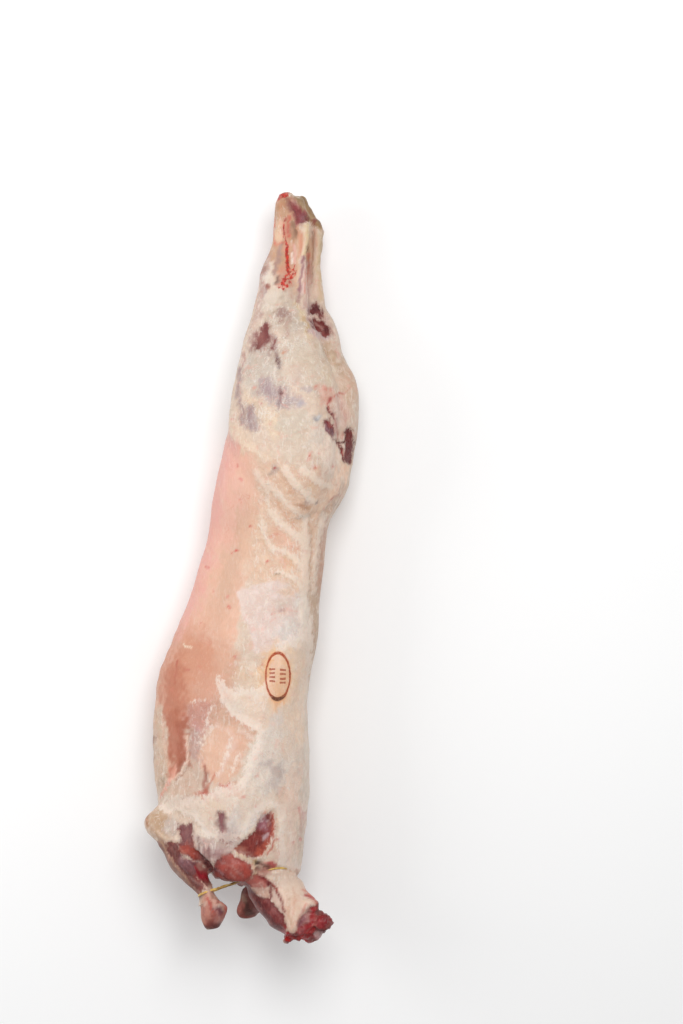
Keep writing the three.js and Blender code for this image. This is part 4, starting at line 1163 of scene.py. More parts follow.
# %% Meat under the windows
MEAT_TONES = [
    (blob((299, 212), (8, 12), -35), (156, 66, 72), 4, 0.9),
    (blob((304, 219), (4, 4)), (168, 96, 104), 3, 0.7),
    (line([(292, 205), (297, 213)], 1.2), (178, 92, 92), 2, 0.7),
    (blob((316, 309), (6, 8)), (92, 18, 30), 3, 0.95),
    (blob((321, 327), (12, 8), 30), (112, 16, 18), 3, 0.95),
    (blob((328, 330), (3, 4), 30), (92, 14, 22), 2.4, 0.8),
    (line([(316, 330), (322, 334), (330, 336)], 0.7), (170, 92, 88), 1.2, 0.7),
    (line([(315, 323), (320, 326), (324, 331)], 0.9), (196, 150, 138), 1.1, 0.8),
    (blob((262, 337), (11, 16)), (152, 96, 90), 5, 0.95),
    (blob((266.5, 331), (3.6, 7)), (132, 66, 66), 3, 0.85),
    (blob((254, 348), (3, 5), 20), (132, 76, 74), 2.6, 0.8),
    (blob((277, 362), (4, 8)), (110, 80, 82), 2, 0.9),
    (blob((281.5, 393.5), (3, 3)), (116, 44, 56), 1, 0.9),
    (blob((330, 413), (6, 6)), (126, 30, 34), 3, 0.9),
    (blob((346, 445), (13, 22)), (106, 8, 8), 4, 0.95),
    (line([(338, 444), (342, 452), (346, 459)], 1.4), (132, 26, 24), 1.2, 0.9),
    (blob((344.6, 453.5), (1.6, 2.6), -30), (196, 50, 44), 1, 0.9),
    (blob((329, 427), (6, 9)), (118, 66, 76), 3, 0.9),
    (line([(328, 421), (332, 426), (336, 431)], 1.7), (150, 30, 34), 1.4, 0.9),
    (line([(338, 443), (356, 443.5)], 0.9), (92, 18, 18), 1.2, 0.85),
    (line([(326, 425), (330, 432)], 0.6), (190, 156, 162), 1.1, 0.7),
    (blob((186, 836), (11, 14)), (128, 70, 72), 5, 0.95),
    (line([(186, 826), (190, 844)], 1.4), (140, 92, 88), 2, 0.6),
    (blob((222, 823), (6, 11)), (164, 114, 117), 2, 0.95),
    (blob((256, 842), (22, 18), -40), (136, 48, 42), 6, 0.95),
    (blob((241, 850), (7, 4), 12), (186, 116, 94), 3, 0.85),
    (blob((266, 828), (7, 7), 30), (152, 68, 70), 3, 0.8),
    (blob((262, 825), (4.4, 5.4), 20), (176, 116, 126), 2.4, 0.85),
    (line([(261, 830), (264, 826), (267, 829)], 0.6), (206, 172, 176), 1, 0.7),
    # painted highlight: a near-white glint on the wet meat of the shoulder window
    (blob((266, 837), (2.2, 5.4), 24), (232, 208, 208), 1.4, 0.9),
    (blob((257.5, 843), (0.8, 2.4)), (206, 170, 166), 1.2, 0.7),
    (blob((260, 853), (5, 5), 30), (204, 96, 70), 2.4, 0.9),
    (line([(273.5, 811), (275, 822), (273.5, 834)], 1.6), (204, 92, 66), 1.6, 0.9),
    (blob((268.5, 818.5), (2.8, 3.4)), (116, 28, 38), 1.8, 0.95),
    (line([(264.5, 814.5), (261.5, 818), (262, 821.5)], 1), (232, 218, 216), 1.1, 0.95),
    (line([(265, 816), (266, 821), (270, 823)], 0.7), (214, 186, 186), 1, 0.85),
    (line([(272, 812), (270.5, 818), (269, 826)], 0.6), (206, 150, 136), 1, 0.8),
    (line([(271, 834), (268, 845), (262, 854)], 2.8), (186, 82, 60), 2.4, 0.85),
    (line([(242, 850), (252, 855)], 1.4), (180, 132, 118), 2, 0.7),
    (blob((234, 869), (22, 17)), (170, 74, 64), 5, 0.95),
    # painted highlight: a lighter patch on top of the shoulder ball
    (blob((238, 866), (10, 7), 20), (184, 92, 80), 4, 0.8),
    (blob((249, 868), (4, 8)), (206, 82, 66), 3, 0.8),
    # dark meat with painted shade: a darker rim along the bottom of the shoulder ball, at the gap
    (line([(216, 872), (228, 880), (240, 884)], 2.2), (96, 34, 38), 2.6, 0.8),
    (line([(221, 858), (214, 864)], 1.6), (118, 66, 64), 2.2, 0.7),
    (line([(246, 862), (250, 866)], 1.2), (196, 136, 122), 1.6, 0.7),
    (line([(222, 862), (232, 866), (244, 876)], 0.8), (196, 146, 136), 1, 0.6),
    (line([(230, 872), (236, 878)], 0.7), (198, 150, 140), 1, 0.6),
    (line([(240, 885), (246, 883.4), (251, 878)], 0.9), (196, 126, 114), 1.3, 0.7),
    (line([(208, 863), (214, 869), (222, 875)], 0.9), (176, 134, 134), 1.3, 0.8),
    # dark meat with painted shade: this row and the next darken the gap beside the near foreleg
    (blob((208, 863), (7, 9), 40), (84, 34, 38), 3.5, 0.95),
    (line([(196, 851), (206, 862), (216, 870)], 1.8), (70, 26, 30), 1.8, 0.8),
    (blob((182, 866), (14, 26), -38), (122, 66, 60), 6, 0.95),
    (line([(170, 848), (179, 862), (188, 874)], 0.8), (178, 128, 114), 1.3, 0.6),
    (line([(176, 862), (186, 876), (198, 888)], 0.8), (170, 122, 112), 1.3, 0.5),
    (line([(180, 866), (192, 880), (200, 888)], 0.8), (86, 46, 46), 1.3, 0.6),
    (line([(170, 846), (182, 864), (198, 888)], 1.4), (98, 46, 46), 1.6, 0.8),
    (blob((189, 851), (10, 6), 36), (176, 72, 54), 2.6, 0.95),
    (blob((196, 856), (4, 3), 36), (128, 44, 38), 2, 0.7),
    (line([(179, 846), (183, 851), (186, 857)], 0.8), (206, 142, 122), 1.2, 0.6),
    (blob((187, 864), (10, 5), 40), (132, 88, 94), 3, 0.9),
    (blob((201, 866), (4, 5), -20), (184, 132, 118), 2.4, 0.9),
    (line([(182, 858), (192, 861), (200, 864)], 0.9), (206, 164, 156), 1.1, 0.7),
    (sheet([(196, 869), (202, 872), (209, 874), (211, 881), (203, 879), (197, 878)]),
     (154, 16, 34), 1.8, 0.95),
    (line([(195, 867), (200, 872), (204, 877)], 1.2), (186, 40, 60), 1.4, 0.85),
    (line([(190, 878), (198, 884), (206, 888)], 1.2), (186, 140, 132), 1.4, 0.7),
    (sheet([(244, 882), (249, 884), (262, 900), (285, 930), (284, 937), (272, 928), (252, 900)]),
     (98, 18, 24), 2.4, 0.95),
    (line([(256, 900), (268, 914), (282, 932)], 1.6), (84, 20, 26), 2, 0.8),
    (sheet([(263, 898), (272, 901), (283, 912), (286, 926), (276, 924), (264, 908)]),
     (128, 44, 46), 2.6, 0.95),
    (blob((273, 911), (4, 3), 40), (172, 104, 100), 2, 0.7),
    (line([(266, 902), (274, 908), (281, 920)], 1), (160, 104, 102), 1.4, 0.6),
    (line([(269, 885), (270, 898)], 1.8), (126, 24, 38), 1.6, 0.95),
    (blob((300, 935), (20, 12)), (170, 30, 38), 5, 0.95),
    (sheet([(298, 914), (308, 907), (313, 912), (306, 922), (298, 928)]), (196, 146, 138), 2.2, 0.95),
    (blob((299, 922), (4, 6), 30), (156, 90, 102), 2.4, 0.85),
    (line([(313, 908), (311, 920), (307, 931)], 2.8), (176, 20, 36), 2, 0.95),
    (line([(316, 912), (313, 924), (308, 934)], 0.7), (196, 120, 112), 1, 0.7),
    (blob((324, 921), (8, 9)), (160, 22, 38), 3, 0.95),
    # painted shadow: a near-black line under the dark red lobe at the neck's cut end
    (line([(315, 929.5), (320, 930), (326, 931)], 1.4), (50, 8, 12), 1.4, 0.95),
    (blob((325, 918), (3, 4)), (120, 16, 30), 1.8, 0.8),
    (line([(312, 926), (316, 927)], 1.4), (206, 130, 118), 1.4, 0.7),
    (blob((318, 935.5), (4.6, 3), -20), (224, 188, 184), 1.5, 0.95),
    (blob((301, 931), (5, 3)), (160, 92, 94), 2.2, 0.8),
    (line([(294, 936), (298, 942)], 1.6), (96, 20, 24), 1.6, 0.8),
]
BLOOD = [
    line([(285.6, 216), (284, 228), (284, 238), (287, 247), (287, 256), (287, 266)], 0.45, 1.9),
    line([(279.6, 199), (281, 196), (284, 194.6), (289, 194.4)], 1.8, 1.4),
    blob((285, 197), (4, 1.6)),
    line([(287, 263), (288.5, 271), (285.5, 277)], 1.5, 0.9),
    blob((291.6, 277), (2.2, 1.8), -30),
    blob((284.5, 280), (2, 1.6)),
    line([(294.5, 264), (292, 270), (289, 273)], 0.5, 0.8),
    line([(293.5, 273), (290, 277.5), (284, 279.5)], 1, 0.8),
    blob((282.5, 283), (2.2, 1.9)),
    blob((286.5, 285), (1.7, 1.9)),
    line([(279, 287), (283, 288.5)], 1),
    blob((290, 282), (1.3, 1.2)),
    line([(293.5, 277), (295.5, 271)], 0.8),
    line([(327, 402), (330, 409)], 0.3),
    line([(286, 938), (290, 942)], 1.6),
    line([(302, 938), (305, 942)], 1.2),
]
SPRINKLED = [
    # fine white fat over thin membrane: where, how soft, how strong
    (sheet([(256, 330), (300, 296), (306, 340), (286, 372), (300, 404), (268, 428), (240, 428),
            (238, 380)]), 6, 0.9),
    (sheet([(196, 820), (250, 800), (268, 806), (246, 840), (226, 852), (204, 852), (194, 838)]),
     5, 0.4),
    (sheet([(248, 730), (300, 726), (306, 800), (276, 806), (246, 796)]), 7, 0.8),
    (sheet([(188, 684), (226, 690), (214, 726), (200, 744), (188, 730)]), 4, 0.3),
    (sheet([(256, 460), (330, 468), (324, 520), (316, 600), (290, 600), (258, 540)]), 6, 0.4),
    (sheet([(152, 704), (164, 704), (172, 800), (152, 800)]), 3, 0.6),
    (line([(262, 262), (256, 320)], 5), 4, 0.6),
]
FIBRED = [
    # long fibres under clear membrane: where, how soft, how strong
    (sheet([(222, 440), (256, 462), (250, 560), (240, 640), (214, 700), (140, 712), (150, 660),
            (200, 520)]), 6, 1),
    (sheet([(164, 700), (187, 700), (187, 760), (172, 780), (163, 744)]), 3, 1),
    (sheet([(272, 232), (322, 232), (322, 300), (262, 300)]), 4, 1),
    (sheet([(202, 742), (222, 722), (249, 729), (236, 776), (212, 787)]), 3, 0.7),
    (sheet([(276, 888), (296, 880), (314, 900), (296, 930), (284, 926)]), 3, 0.7),
]


def cover_share(rows):
    """How strongly each point takes part in an effect, from 0 to 1."""
    return np.max([share * ramp(canvas.depth(shape, 2.0), -soft, soft)
                   for shape, soft, share in rows], axis=0)


WET_SHADE = 0.82                      # wet meat shines, so its paint is this much darker

meat_colour = WET_SHADE * paint(MEAT_TONES, MEAT)
blood_depth = deepest(BLOOD, 0.5)
print("smears of blood:", len(BLOOD), "tones of meat:", len(MEAT_TONES))

# %% Store the paint on the skin
DEPTH_SCALE = 0.1                     # stored depths are kept between about -1 and 1


def store_colour(piece, name, colour):
    layer = piece.data.color_attributes.new(name=name, type="FLOAT_COLOR", domain="POINT")
    with_alpha = np.concatenate([colour, np.ones((len(colour), 1))], axis=1)
    layer.data.foreach_set("color", with_alpha.ravel())


def store_number(piece, name, values):
    layer = piece.data.attributes.new(name=name, type="FLOAT", domain="POINT")
    layer.data.foreach_set("value", values)


store_colour(lamb, "cover_colour", cover_colour)
store_colour(lamb, "meat_colour", meat_colour)
for name, depth in (("window_depth", window_depth), ("stripe_depth", stripe_depth),
                    ("back_fat_depth", back_fat_depth), ("blood_depth", blood_depth)):
    store_number(lamb, name, depth * DEPTH_SCALE)
store_number(lamb, "sprinkled", cover_share(SPRINKLED))
store_number(lamb, "fibred", cover_share(FIBRED))
store_number(lamb, "shown_side", canvas.share)
select_only(lamb)
bpy.ops.object.shade_smooth()
print("attributes:", [layer.name for layer in lamb.data.attributes if not layer.name.startswith(".")])

# %% [markdown]
# ## Node groups
#
# Some effects are used more than once, so each is a small node group. One turns
# a stored depth into a ragged mask, one lays the fine unevenness of fat over a
# coat, and one gives the fibres of bare muscle.

# %% Helpers for nodes


def new_group(name, inputs, outputs):
    """An empty shader node group with named sockets; returns it with its two ends."""
    group = bpy.data.node_groups.new(name, "ShaderNodeTree")
    for label, kind, start in inputs:
        socket = group.interface.new_socket(name=label, in_out="INPUT", socket_type=kind)
        socket.default_value = start
    for label, kind in outputs:
        group.interface.new_socket(name=label, in_out="OUTPUT", socket_type=kind)
    return group, group.nodes.new("NodeGroupInput"), group.nodes.new("NodeGroupOutput")


def noise(tree, place, scale, detail=3.0, roughness=0.55, bend=0.0):
    node = tree.nodes.new("ShaderNodeTexNoise")
    node.inputs["Scale"].default_value = scale
    node.inputs["Detail"].default_value = detail
    node.inputs["Roughness"].default_value = roughness
    node.inputs["Distortion"].default_value = bend
    tree.links.new(place, node.inputs["Vector"])
    return node.outputs["Fac"]


def maths(tree, operation, *values):
    node = tree.nodes.new("ShaderNodeMath")
    node.operation = operation
    for socket, value in zip(node.inputs, values):
        if isinstance(value, (int, float)):
            socket.default_value = value
        else:
            tree.links.new(value, socket)
    return node.outputs[0]


def times(tree, first, second):
    return maths(tree, "MULTIPLY", first, second)


def times_plus(tree, first, second, added):
    return maths(tree, "MULTIPLY_ADD", first, second, added)


def one_minus(tree, value):
    return maths(tree, "SUBTRACT", 1.0, value)


def smooth_step(tree, value, low, high):
    node = tree.nodes.new("ShaderNodeMapRange")
    node.interpolation_type = "SMOOTHSTEP"
    node.inputs["From Min"].default_value = low
    node.inputs["From Max"].default_value = high
    tree.links.new(value, node.inputs["Value"])
    return node.outputs["Result"]


COLOUR_MIX_INPUTS = (0, 6, 7)         # the node's sockets for share, first and second colour
COLOUR_MIX_OUTPUT = 2


def mix_colour(tree, share, first, second, blend="MIX"):
    node = tree.nodes.new("ShaderNodeMix")
    node.data_type = "RGBA"
    node.blend_type = blend
    for index, value in zip(COLOUR_MIX_INPUTS, (share, first, second)):
        socket = node.inputs[index]
        if isinstance(value, (int, float)):
            socket.default_value = value
        elif isinstance(value, tuple):
            socket.default_value = (*value, 1)
        else:
            tree.links.new(value, socket)
    return node.outputs[COLOUR_MIX_OUTPUT]


def stretched(tree, place, stretch, turn=0.0):
    node = tree.nodes.new("ShaderNodeMapping")
    node.inputs["Scale"].default_value = stretch
    node.inputs["Rotation"].default_value = (0, 0, math.radians(turn))
    tree.links.new(place, node.inputs["Vector"])
    return node.outputs["Vector"]


def shade(colour):
    return tuple(float(part) for part in linear(colour))


# %% The groups
def ragged_edge_group():
    """Depth in, mask out, with an edge torn by coarse and fine noise."""
    group, ends_in, ends_out = new_group(
        "ragged edge",
        [("Depth", "NodeSocketFloat", 0.0), ("Place", "NodeSocketVector", (0, 0, 0)),
         ("Tear", "NodeSocketFloat", 0.3), ("Softness", "NodeSocketFloat", 0.06)],
        [("Mask", "NodeSocketFloat")])
    strands = stretched(group, ends_in.outputs["Place"], (1.0, 0.5, 1.0), 12)
    tear = maths(group, "SUBTRACT", noise(group, strands, 230, 6.0, 0.74, 0.4), 0.5)
    shifted = times_plus(group, tear, ends_in.outputs["Tear"], ends_in.outputs["Depth"])
    scaled = maths(group, "DIVIDE", shifted, ends_in.outputs["Softness"])
    group.links.new(smooth_step(group, scaled, -1, 1), ends_out.inputs["Mask"])
    return group


def uneven_coat_group():
    """Gives a coat fine mottling, sprinkled white fat, long fibres and a few pink veins."""
    group, ends_in, ends_out = new_group(
        "uneven coat",
        [("Colour", "NodeSocketColor", (1, 1, 1, 1)), ("Place", "NodeSocketVector", (0, 0, 0)),
         ("Sprinkled", "NodeSocketFloat", 0.0), ("Fibred", "NodeSocketFloat", 0.0)],
        [("Colour", "NodeSocketColor"), ("Height", "NodeSocketFloat")])
    place = ends_in.outputs["Place"]
    sprinkled = ends_in.outputs["Sprinkled"]
    fibred = ends_in.outputs["Fibred"]
    plain = one_minus(group, times(group, fibred, 0.75))
    long_way = stretched(group, place, (1.0, 0.1, 1.0), 9)
    parts = group.nodes.new("ShaderNodeSeparateColor")
    group.links.new(ends_in.outputs["Colour"], parts.inputs[0])
    pale = smooth_step(group, parts.outputs["Green"], 0.12, 0.42)

    warm = smooth_step(group, noise(group, place, 26, 3.0, 0.5, 0.4), 0.38, 0.66)
    tinted = mix_colour(group, times(group, warm, 0.5),
                        ends_in.outputs["Colour"], (1.0, 0.945, 0.9), "MULTIPLY")
    mottle = smooth_step(group, noise(group, place, 85, 7.0, 0.66, 0.7), 0.36, 0.64)
    hollow = times(group, one_minus(group, mottle), times(group, plain, 0.62))
    mottled = mix_colour(group, hollow, tinted, (0.84, 0.77, 0.73), "MULTIPLY")
    smears = stretched(group, place, (1.0, 0.32, 1.0), 14)
    strand = smooth_step(group, noise(group, smears, 135, 7.0, 0.66, 1.4), 0.53, 0.62)
    strands = times(group, strand, times(group, pale, plain))
    stranded = mix_colour(group, times(group, strands, 0.42), mottled, shade((236, 224, 213)))

    fibre = smooth_step(group, noise(group, long_way, 620, 4.0, 0.6), 0.38, 0.64)
    line_share = times(group, fibre, times_plus(group, fibred, 0.24, 0.12))
    lined = mix_colour(group, line_share, stranded, (0.9, 0.82, 0.78), "MULTIPLY")
    cool = smooth_step(group, noise(group, place, 19, 4.0, 0.6, 0.6), 0.42, 0.68)
    cooled = mix_colour(group, times(group, cool, times(group, plain, 0.5)),
                        lined, (0.93, 0.945, 0.955), "MULTIPLY")

    salt = smooth_step(group, noise(group, place, 430, 5.0, 0.72, 0.5), 0.5, 0.6)
    clouds = smooth_step(group, noise(group, place, 60, 5.0, 0.65), 0.4, 0.6)
    grains = times(group, times(group, salt, clouds), pale)
    salted = mix_colour(group, times(group, grains, times(group, sprinkled, 0.62)),
                        cooled, shade((230, 224, 217)))
    pepper = smooth_step(group, noise(group, place, 300, 4.0, 0.7), 0.58, 0.66)
    pepper_share = times(group, pepper, times_plus(group, sprinkled, 0.34, 0.04))
    peppered = mix_colour(group, pepper_share, salted, shade((150, 118, 114)))

    wandering = maths(group, "SUBTRACT", noise(group, place, 40, 3.0, 0.5, 1.5), 0.5)
    ridge = maths(group, "ABSOLUTE", wandering)
    thin = one_minus(group, smooth_step(group, ridge, 0.002, 0.014))
    some = smooth_step(group, noise(group, place, 17, 2.0), 0.5, 0.62)
    vein_share = times(group, times(group, thin, some), 0.34)
    veins = mix_colour(group, vein_share, peppered, shade((204, 122, 108)))
    flush = smooth_step(group, noise(group, place, 52, 6.0, 0.62, 0.9), 0.57, 0.68)
    flushed = mix_colour(group, times(group, flush, times(group, plain, 0.3)),
                         veins, shade((222, 158, 142)))
    group.links.new(flushed, ends_out.inputs["Colour"])

    lumps = times(group, mottle, plain)
    height = times_plus(group, times(group, salt, clouds), times(group, sprinkled, 0.35), lumps)
    height = times_plus(group, fibre, 0.22, height)
    height = times_plus(group, noise(group, place, 800, 3.0), 0.25, height)
    height = times_plus(group, strand, times(group, plain, 0.4), height)
    group.links.new(height, ends_out.inputs["Height"])
    return group


def muscle_group():
    """Colour in, fibred wet muscle colour and height out."""
    group, ends_in, ends_out = new_group(
        "muscle fibres",
        [("Colour", "NodeSocketColor", (1, 1, 1, 1)), ("Place", "NodeSocketVector", (0, 0, 0))],
        [("Colour", "NodeSocketColor"), ("Height", "NodeSocketFloat")])
    place = ends_in.outputs["Place"]
    along = stretched(group, place, (1.0, 0.25, 1.0), -32)
    fibres = smooth_step(group, noise(group, along, 460, 4.0, 0.6, 0.5), 0.35, 0.7)
    blotches = smooth_step(group, noise(group, place, 85, 5.0, 0.62, 0.6), 0.36, 0.66)
    sinew = smooth_step(group, noise(group, along, 130, 6.0, 0.72, 1.0), 0.58, 0.68)
    darker = mix_colour(group, times(group, one_minus(group, blotches), 0.6),
                        ends_in.outputs["Colour"], (0.56, 0.42, 0.46), "MULTIPLY")
    fibred = mix_colour(group, times(group, fibres, 0.16), darker, shade((190, 112, 98)))
    pale = mix_colour(group, times(group, sinew, 0.26), fibred, shade((210, 158, 146)))
    group.links.new(pale, ends_out.inputs["Colour"])
    group.links.new(maths(group, "ADD", fibres, sinew), ends_out.inputs["Height"])
    return group


RAGGED_EDGE = ragged_edge_group()
UNEVEN_COAT = uneven_coat_group()
MUSCLE = muscle_group()
print("node groups:", RAGGED_EDGE.name, UNEVEN_COAT.name, MUSCLE.name, sep=" / ")

# %% [markdown]
# ## The meat material
#
# The cover colour comes first, made uneven. White fat, bare muscle and blood go
# over it through ragged masks, and the inspection mark is burnt in last, with a
# scorched rim, on the shown side alone. Wet muscle is smoother than fat, so
# roughness follows the same masks. Light goes a little way into fat and meat,
# which the subsurface setting of the shader does.

# %% The inspection mark
STAMP_MIDDLE = from_picture(277.7, 676.4, 0.19)
STAMP_HALF = (0.0188, 0.0362)         # metres across and along
STAMP_LINE = 0.066                    # half the line's width as a share of the oval
STAMP_SHAKE = 0.0026                  # metres that its lines wander
STAMP_BARS = [
    # metres from the middle: how far across, how far up each one is, half sizes across and up
    (-0.0088, (0.0110, 0.0050, -0.0012, -0.0078), 0.0044, 0.0016),
    (0.0078, (0.0095, 0.0028, -0.0045, -0.0105), 0.0046, 0.0017),
]


def attribute(tree, name, output="Fac"):
    node = tree.nodes.new("ShaderNodeAttribute")
    node.attribute_name = name
    return node.outputs[output]


def grouped(tree, group, **links):
    node = tree.nodes.new("ShaderNodeGroup")
    node.node_tree = group
    for name, value in links.items():
        if isinstance(value, (int, float)):
            node.inputs[name].default_value = value
        else:
            tree.links.new(value, node.inputs[name])
    return node


def burnt_mark(tree, place):
    """The oval inspection mark with plain bars in it, its scorched rim, and its darker low end."""
    shake = tree.nodes.new("ShaderNodeTexNoise")
    shake.inputs["Scale"].default_value = 110
    tree.links.new(place, shake.inputs["Vector"])
    wobble = tree.nodes.new("ShaderNodeVectorMath")
    wobble.operation = "MULTIPLY_ADD"
    tree.links.new(shake.outputs["Color"], wobble.inputs[0])
    wobble.inputs[1].default_value = (STAMP_SHAKE, STAMP_SHAKE, 0.0)
    tree.links.new(place, wobble.inputs[2])
    split = tree.nodes.new("ShaderNodeSeparateXYZ")
    tree.links.new(wobble.outputs[0], split.inputs[0])
    x = maths(tree, "SUBTRACT", split.outputs["X"], STAMP_MIDDLE[0] + STAMP_SHAKE / 2)
    y = maths(tree, "SUBTRACT", split.outputs["Y"], STAMP_MIDDLE[1] + STAMP_SHAKE / 2)
    u = maths(tree, "DIVIDE", x, STAMP_HALF[0])
    v = maths(tree, "DIVIDE", y, STAMP_HALF[1])
    squares = maths(tree, "ADD", times(tree, u, u), times(tree, v, v))
    radius = maths(tree, "SQRT", squares)
    off_line = maths(tree, "ABSOLUTE", maths(tree, "SUBTRACT", radius, 1.0))
    low_side = smooth_step(tree, times(tree, v, -1.0), 0.72, 1.0)
    width = times_plus(tree, low_side, 0.02, STAMP_LINE)
    mask = one_minus(tree, smooth_step(tree, maths(tree, "DIVIDE", off_line, width), 0.6, 1.4))
    for across, heights, half_x, half_y in STAMP_BARS:
        for up in heights:
            in_x = maths(tree, "COMPARE", x, across, half_x)
            in_y = maths(tree, "COMPARE", y, up, half_y)
            bar = times(tree, times(tree, in_x, in_y), 0.85)
            mask = maths(tree, "MAXIMUM", mask, bar)
    worn = smooth_step(tree, noise(tree, place, 330, 4.0, 0.7), 0.3, 0.56)
    halo = one_minus(tree, smooth_step(tree, maths(tree, "DIVIDE", off_line, width), 0.8, 3.0))
    inside = maths(tree, "SUBTRACT", 0.7, times(tree, smooth_step(tree, radius, 0.9, 1.3), 0.7))
    halo = maths(tree, "MAXIMUM", halo, inside)
    return times(tree, mask, times_plus(tree, worn, 0.4, 0.6)), halo, low_side


# %% Meat material
def meat_material():
    material = bpy.data.materials.new("moist lamb meat")
    material.use_nodes = True
    tree = material.node_tree
    surface = tree.nodes["Principled BSDF"]
    place = tree.nodes.new("ShaderNodeTexCoord").outputs["Object"]

    def ragged(name, tear, softness, shift=0.0):
        depth = maths(tree, "ADD", attribute(tree, name), shift)
        node = grouped(tree, RAGGED_EDGE, Depth=depth, Place=place, Tear=tear, Softness=softness)
        return node.outputs["Mask"]

    cover = grouped(tree, UNEVEN_COAT, Colour=attribute(tree, "cover_colour", "Color"), Place=place,
                    Sprinkled=attribute(tree, "sprinkled"), Fibred=attribute(tree, "fibred"))
    meat = grouped(tree, MUSCLE, Colour=attribute(tree, "meat_colour", "Color"), Place=place)
    back_fat = ragged("back_fat_depth", 2.2, 0.2)
    back_fat_rim = maths(tree, "SUBTRACT", back_fat, ragged("back_fat_depth", 1.6, 0.4, -0.75))
    stripes = ragged("stripe_depth", 1.5, 0.2)
    veiled = ragged("window_depth", 1.2, 0.2, 0.14)
    window = ragged("window_depth", 0.9, 0.13, -0.03)
    blood = ragged("blood_depth", 0.6, 0.08)

    whiteness = times_plus(tree, back_fat_rim, 0.42, times(tree, back_fat, 0.24))
    colour = mix_colour(tree, whiteness, cover.outputs["Colour"], shade((232, 216, 203)))
    colour = mix_colour(tree, times(tree, stripes, 0.58), colour, shade((232, 215, 199)))
    colour = mix_colour(tree, times(tree, veiled, 0.27), colour, meat.outputs["Colour"])
    colour = mix_colour(tree, window, colour, meat.outputs["Colour"])
    blood_tone = mix_colour(tree, smooth_step(tree, noise(tree, place, 260, 4.0), 0.38, 0.62),
                            shade((146, 10, 12)), shade((204, 30, 24)))
    colour = mix_colour(tree, times(tree, blood, 0.88), colour, blood_tone)
    mark, halo, low_side = burnt_mark(tree, place)
    shown = smooth_step(tree, attribute(tree, "shown_side"), 0.6, 0.9)
    scorched = times(tree, times(tree, halo, shown), 0.42)
    colour = mix_colour(tree, scorched, colour, shade((224, 146, 88)))
    shown_mark = times(tree, mark, shown)
    burnt = mix_colour(tree, low_side, shade((158, 48, 8)), shade((72, 22, 12)))
    colour = mix_colour(tree, times(tree, shown_mark, 0.92), colour, burnt)
    tree.links.new(colour, surface.inputs["Base Color"])

    wet = maths(tree, "MAXIMUM", window, blood)
    dry = times_plus(tree, noise(tree, place, 160, 3.0), 0.3, 0.34)
    roughness = times_plus(tree, wet, -0.16, dry)
    tree.links.new(roughness, surface.inputs["Roughness"])
    tree.links.new(times_plus(tree, wet, 0.14, 0.04), surface.inputs["Coat Weight"])

    bump = tree.nodes.new("ShaderNodeBump")
    bump.inputs["Strength"].default_value = 0.5
    bump.inputs["Distance"].default_value = 0.0011
    meat_height = times(tree, meat.outputs["Height"], times(tree, window, 0.5))
    height = maths(tree, "ADD", cover.outputs["Height"], meat_height)
    height = times_plus(tree, window, -0.9, height)
    height = times_plus(tree, stripes, 0.7, height)
    height = times_plus(tree, back_fat, 0.35, height)
    tree.links.new(height, bump.inputs["Height"])
    tree.links.new(bump.outputs["Normal"], surface.inputs["Normal"])

    surface.inputs["Subsurface Weight"].default_value = 0.1
    surface.inputs["Subsurface Radius"].default_value = (0.9, 0.35, 0.2)
    surface.inputs["Subsurface Scale"].default_value = 0.005
    surface.inputs["Coat Roughness"].default_value = 0.14
    surface.inputs["Specular IOR Level"].default_value = 0.3
    surface.inputs["IOR"].default_value = 1.4
    return material


lamb.data.materials.clear()
lamb.data.materials.append(meat_material())
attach(lamb, "root")
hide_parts("carcass")
print("meat material has", len(lamb.data.materials[0].node_tree.nodes), "nodes")

# %% [markdown]
# ## The elastic band
#
# A thin flat elastic band ties the forelegs to the neck. It starts as a torus
# primitive. Every ring of the torus is carried to its place on a closed route:
# over the near wrist, across the gap, into the crease at the root of the neck,
# round the back of the neck, and underneath to the near wrist again. Where the
# band lies on flesh, its height is found by looking down on the skin. Where it
# crosses the gap it is free, and it turns over once there.

# %% Route of the band
ON_SKIN = None                        # the height is found on the skin
BAND_ROUTE = [
    # column and row on the picture, height in metres
    (198.6, 895.8, 0.176), (201, 894.2, 0.190), (206, 892, ON_SKIN), (211, 890.2, ON_SKIN),
    (215.5, 889, 0.190), (220, 887.4, 0.182), (228, 884.8, 0.174), (236, 882.6, 0.166),
    (245, 880, 0.166), (252, 877, 0.176), (259, 873, 0.184), (266, 870, 0.190),
    (272, 868.8, ON_SKIN), (278, 868, ON_SKIN), (284, 868, ON_SKIN), (288, 869, 0.168),
    (292, 871, 0.154), (295, 873.4, 0.136), (295.5, 875.6, 0.120), (293, 877, 0.100),
    (287, 879, 0.080), (274, 880.5, 0.050), (258, 881, 0.040), (245, 882, 0.056),
    (236, 883.2, 0.096), (228, 885.6, 0.120), (220, 888.4, 0.140), (210, 892.5, 0.148),
    (202, 895.6, 0.152), (199, 896.4, 0.162),
]
BAND_WIDTH = 0.0036
BAND_THICKNESS = 0.0019
BAND_SINK = 0.0009                    # how far it presses into the skin
BAND_RINGS = 280
BAND_SIDES = 12
FREE_KNOTS = (5, 8)                   # it turns over between these knots of the route
TORUS_TUBE = 0.1                      # the tube of the torus before it is carried away
RAY_START = 0.6                       # metres, above everything


def skin_height(tree, column, row):
    """Height of the upper skin at a picture point."""
    height = SHARP_HEIGHT
    for _ in range(3):
        x, y, _z = from_picture(column, row, height)
        hit = tree.ray_cast(Vector((x, y, RAY_START)), Vector((0, 0, -1)))
        height = hit[0].z if hit[0] else height
    return height


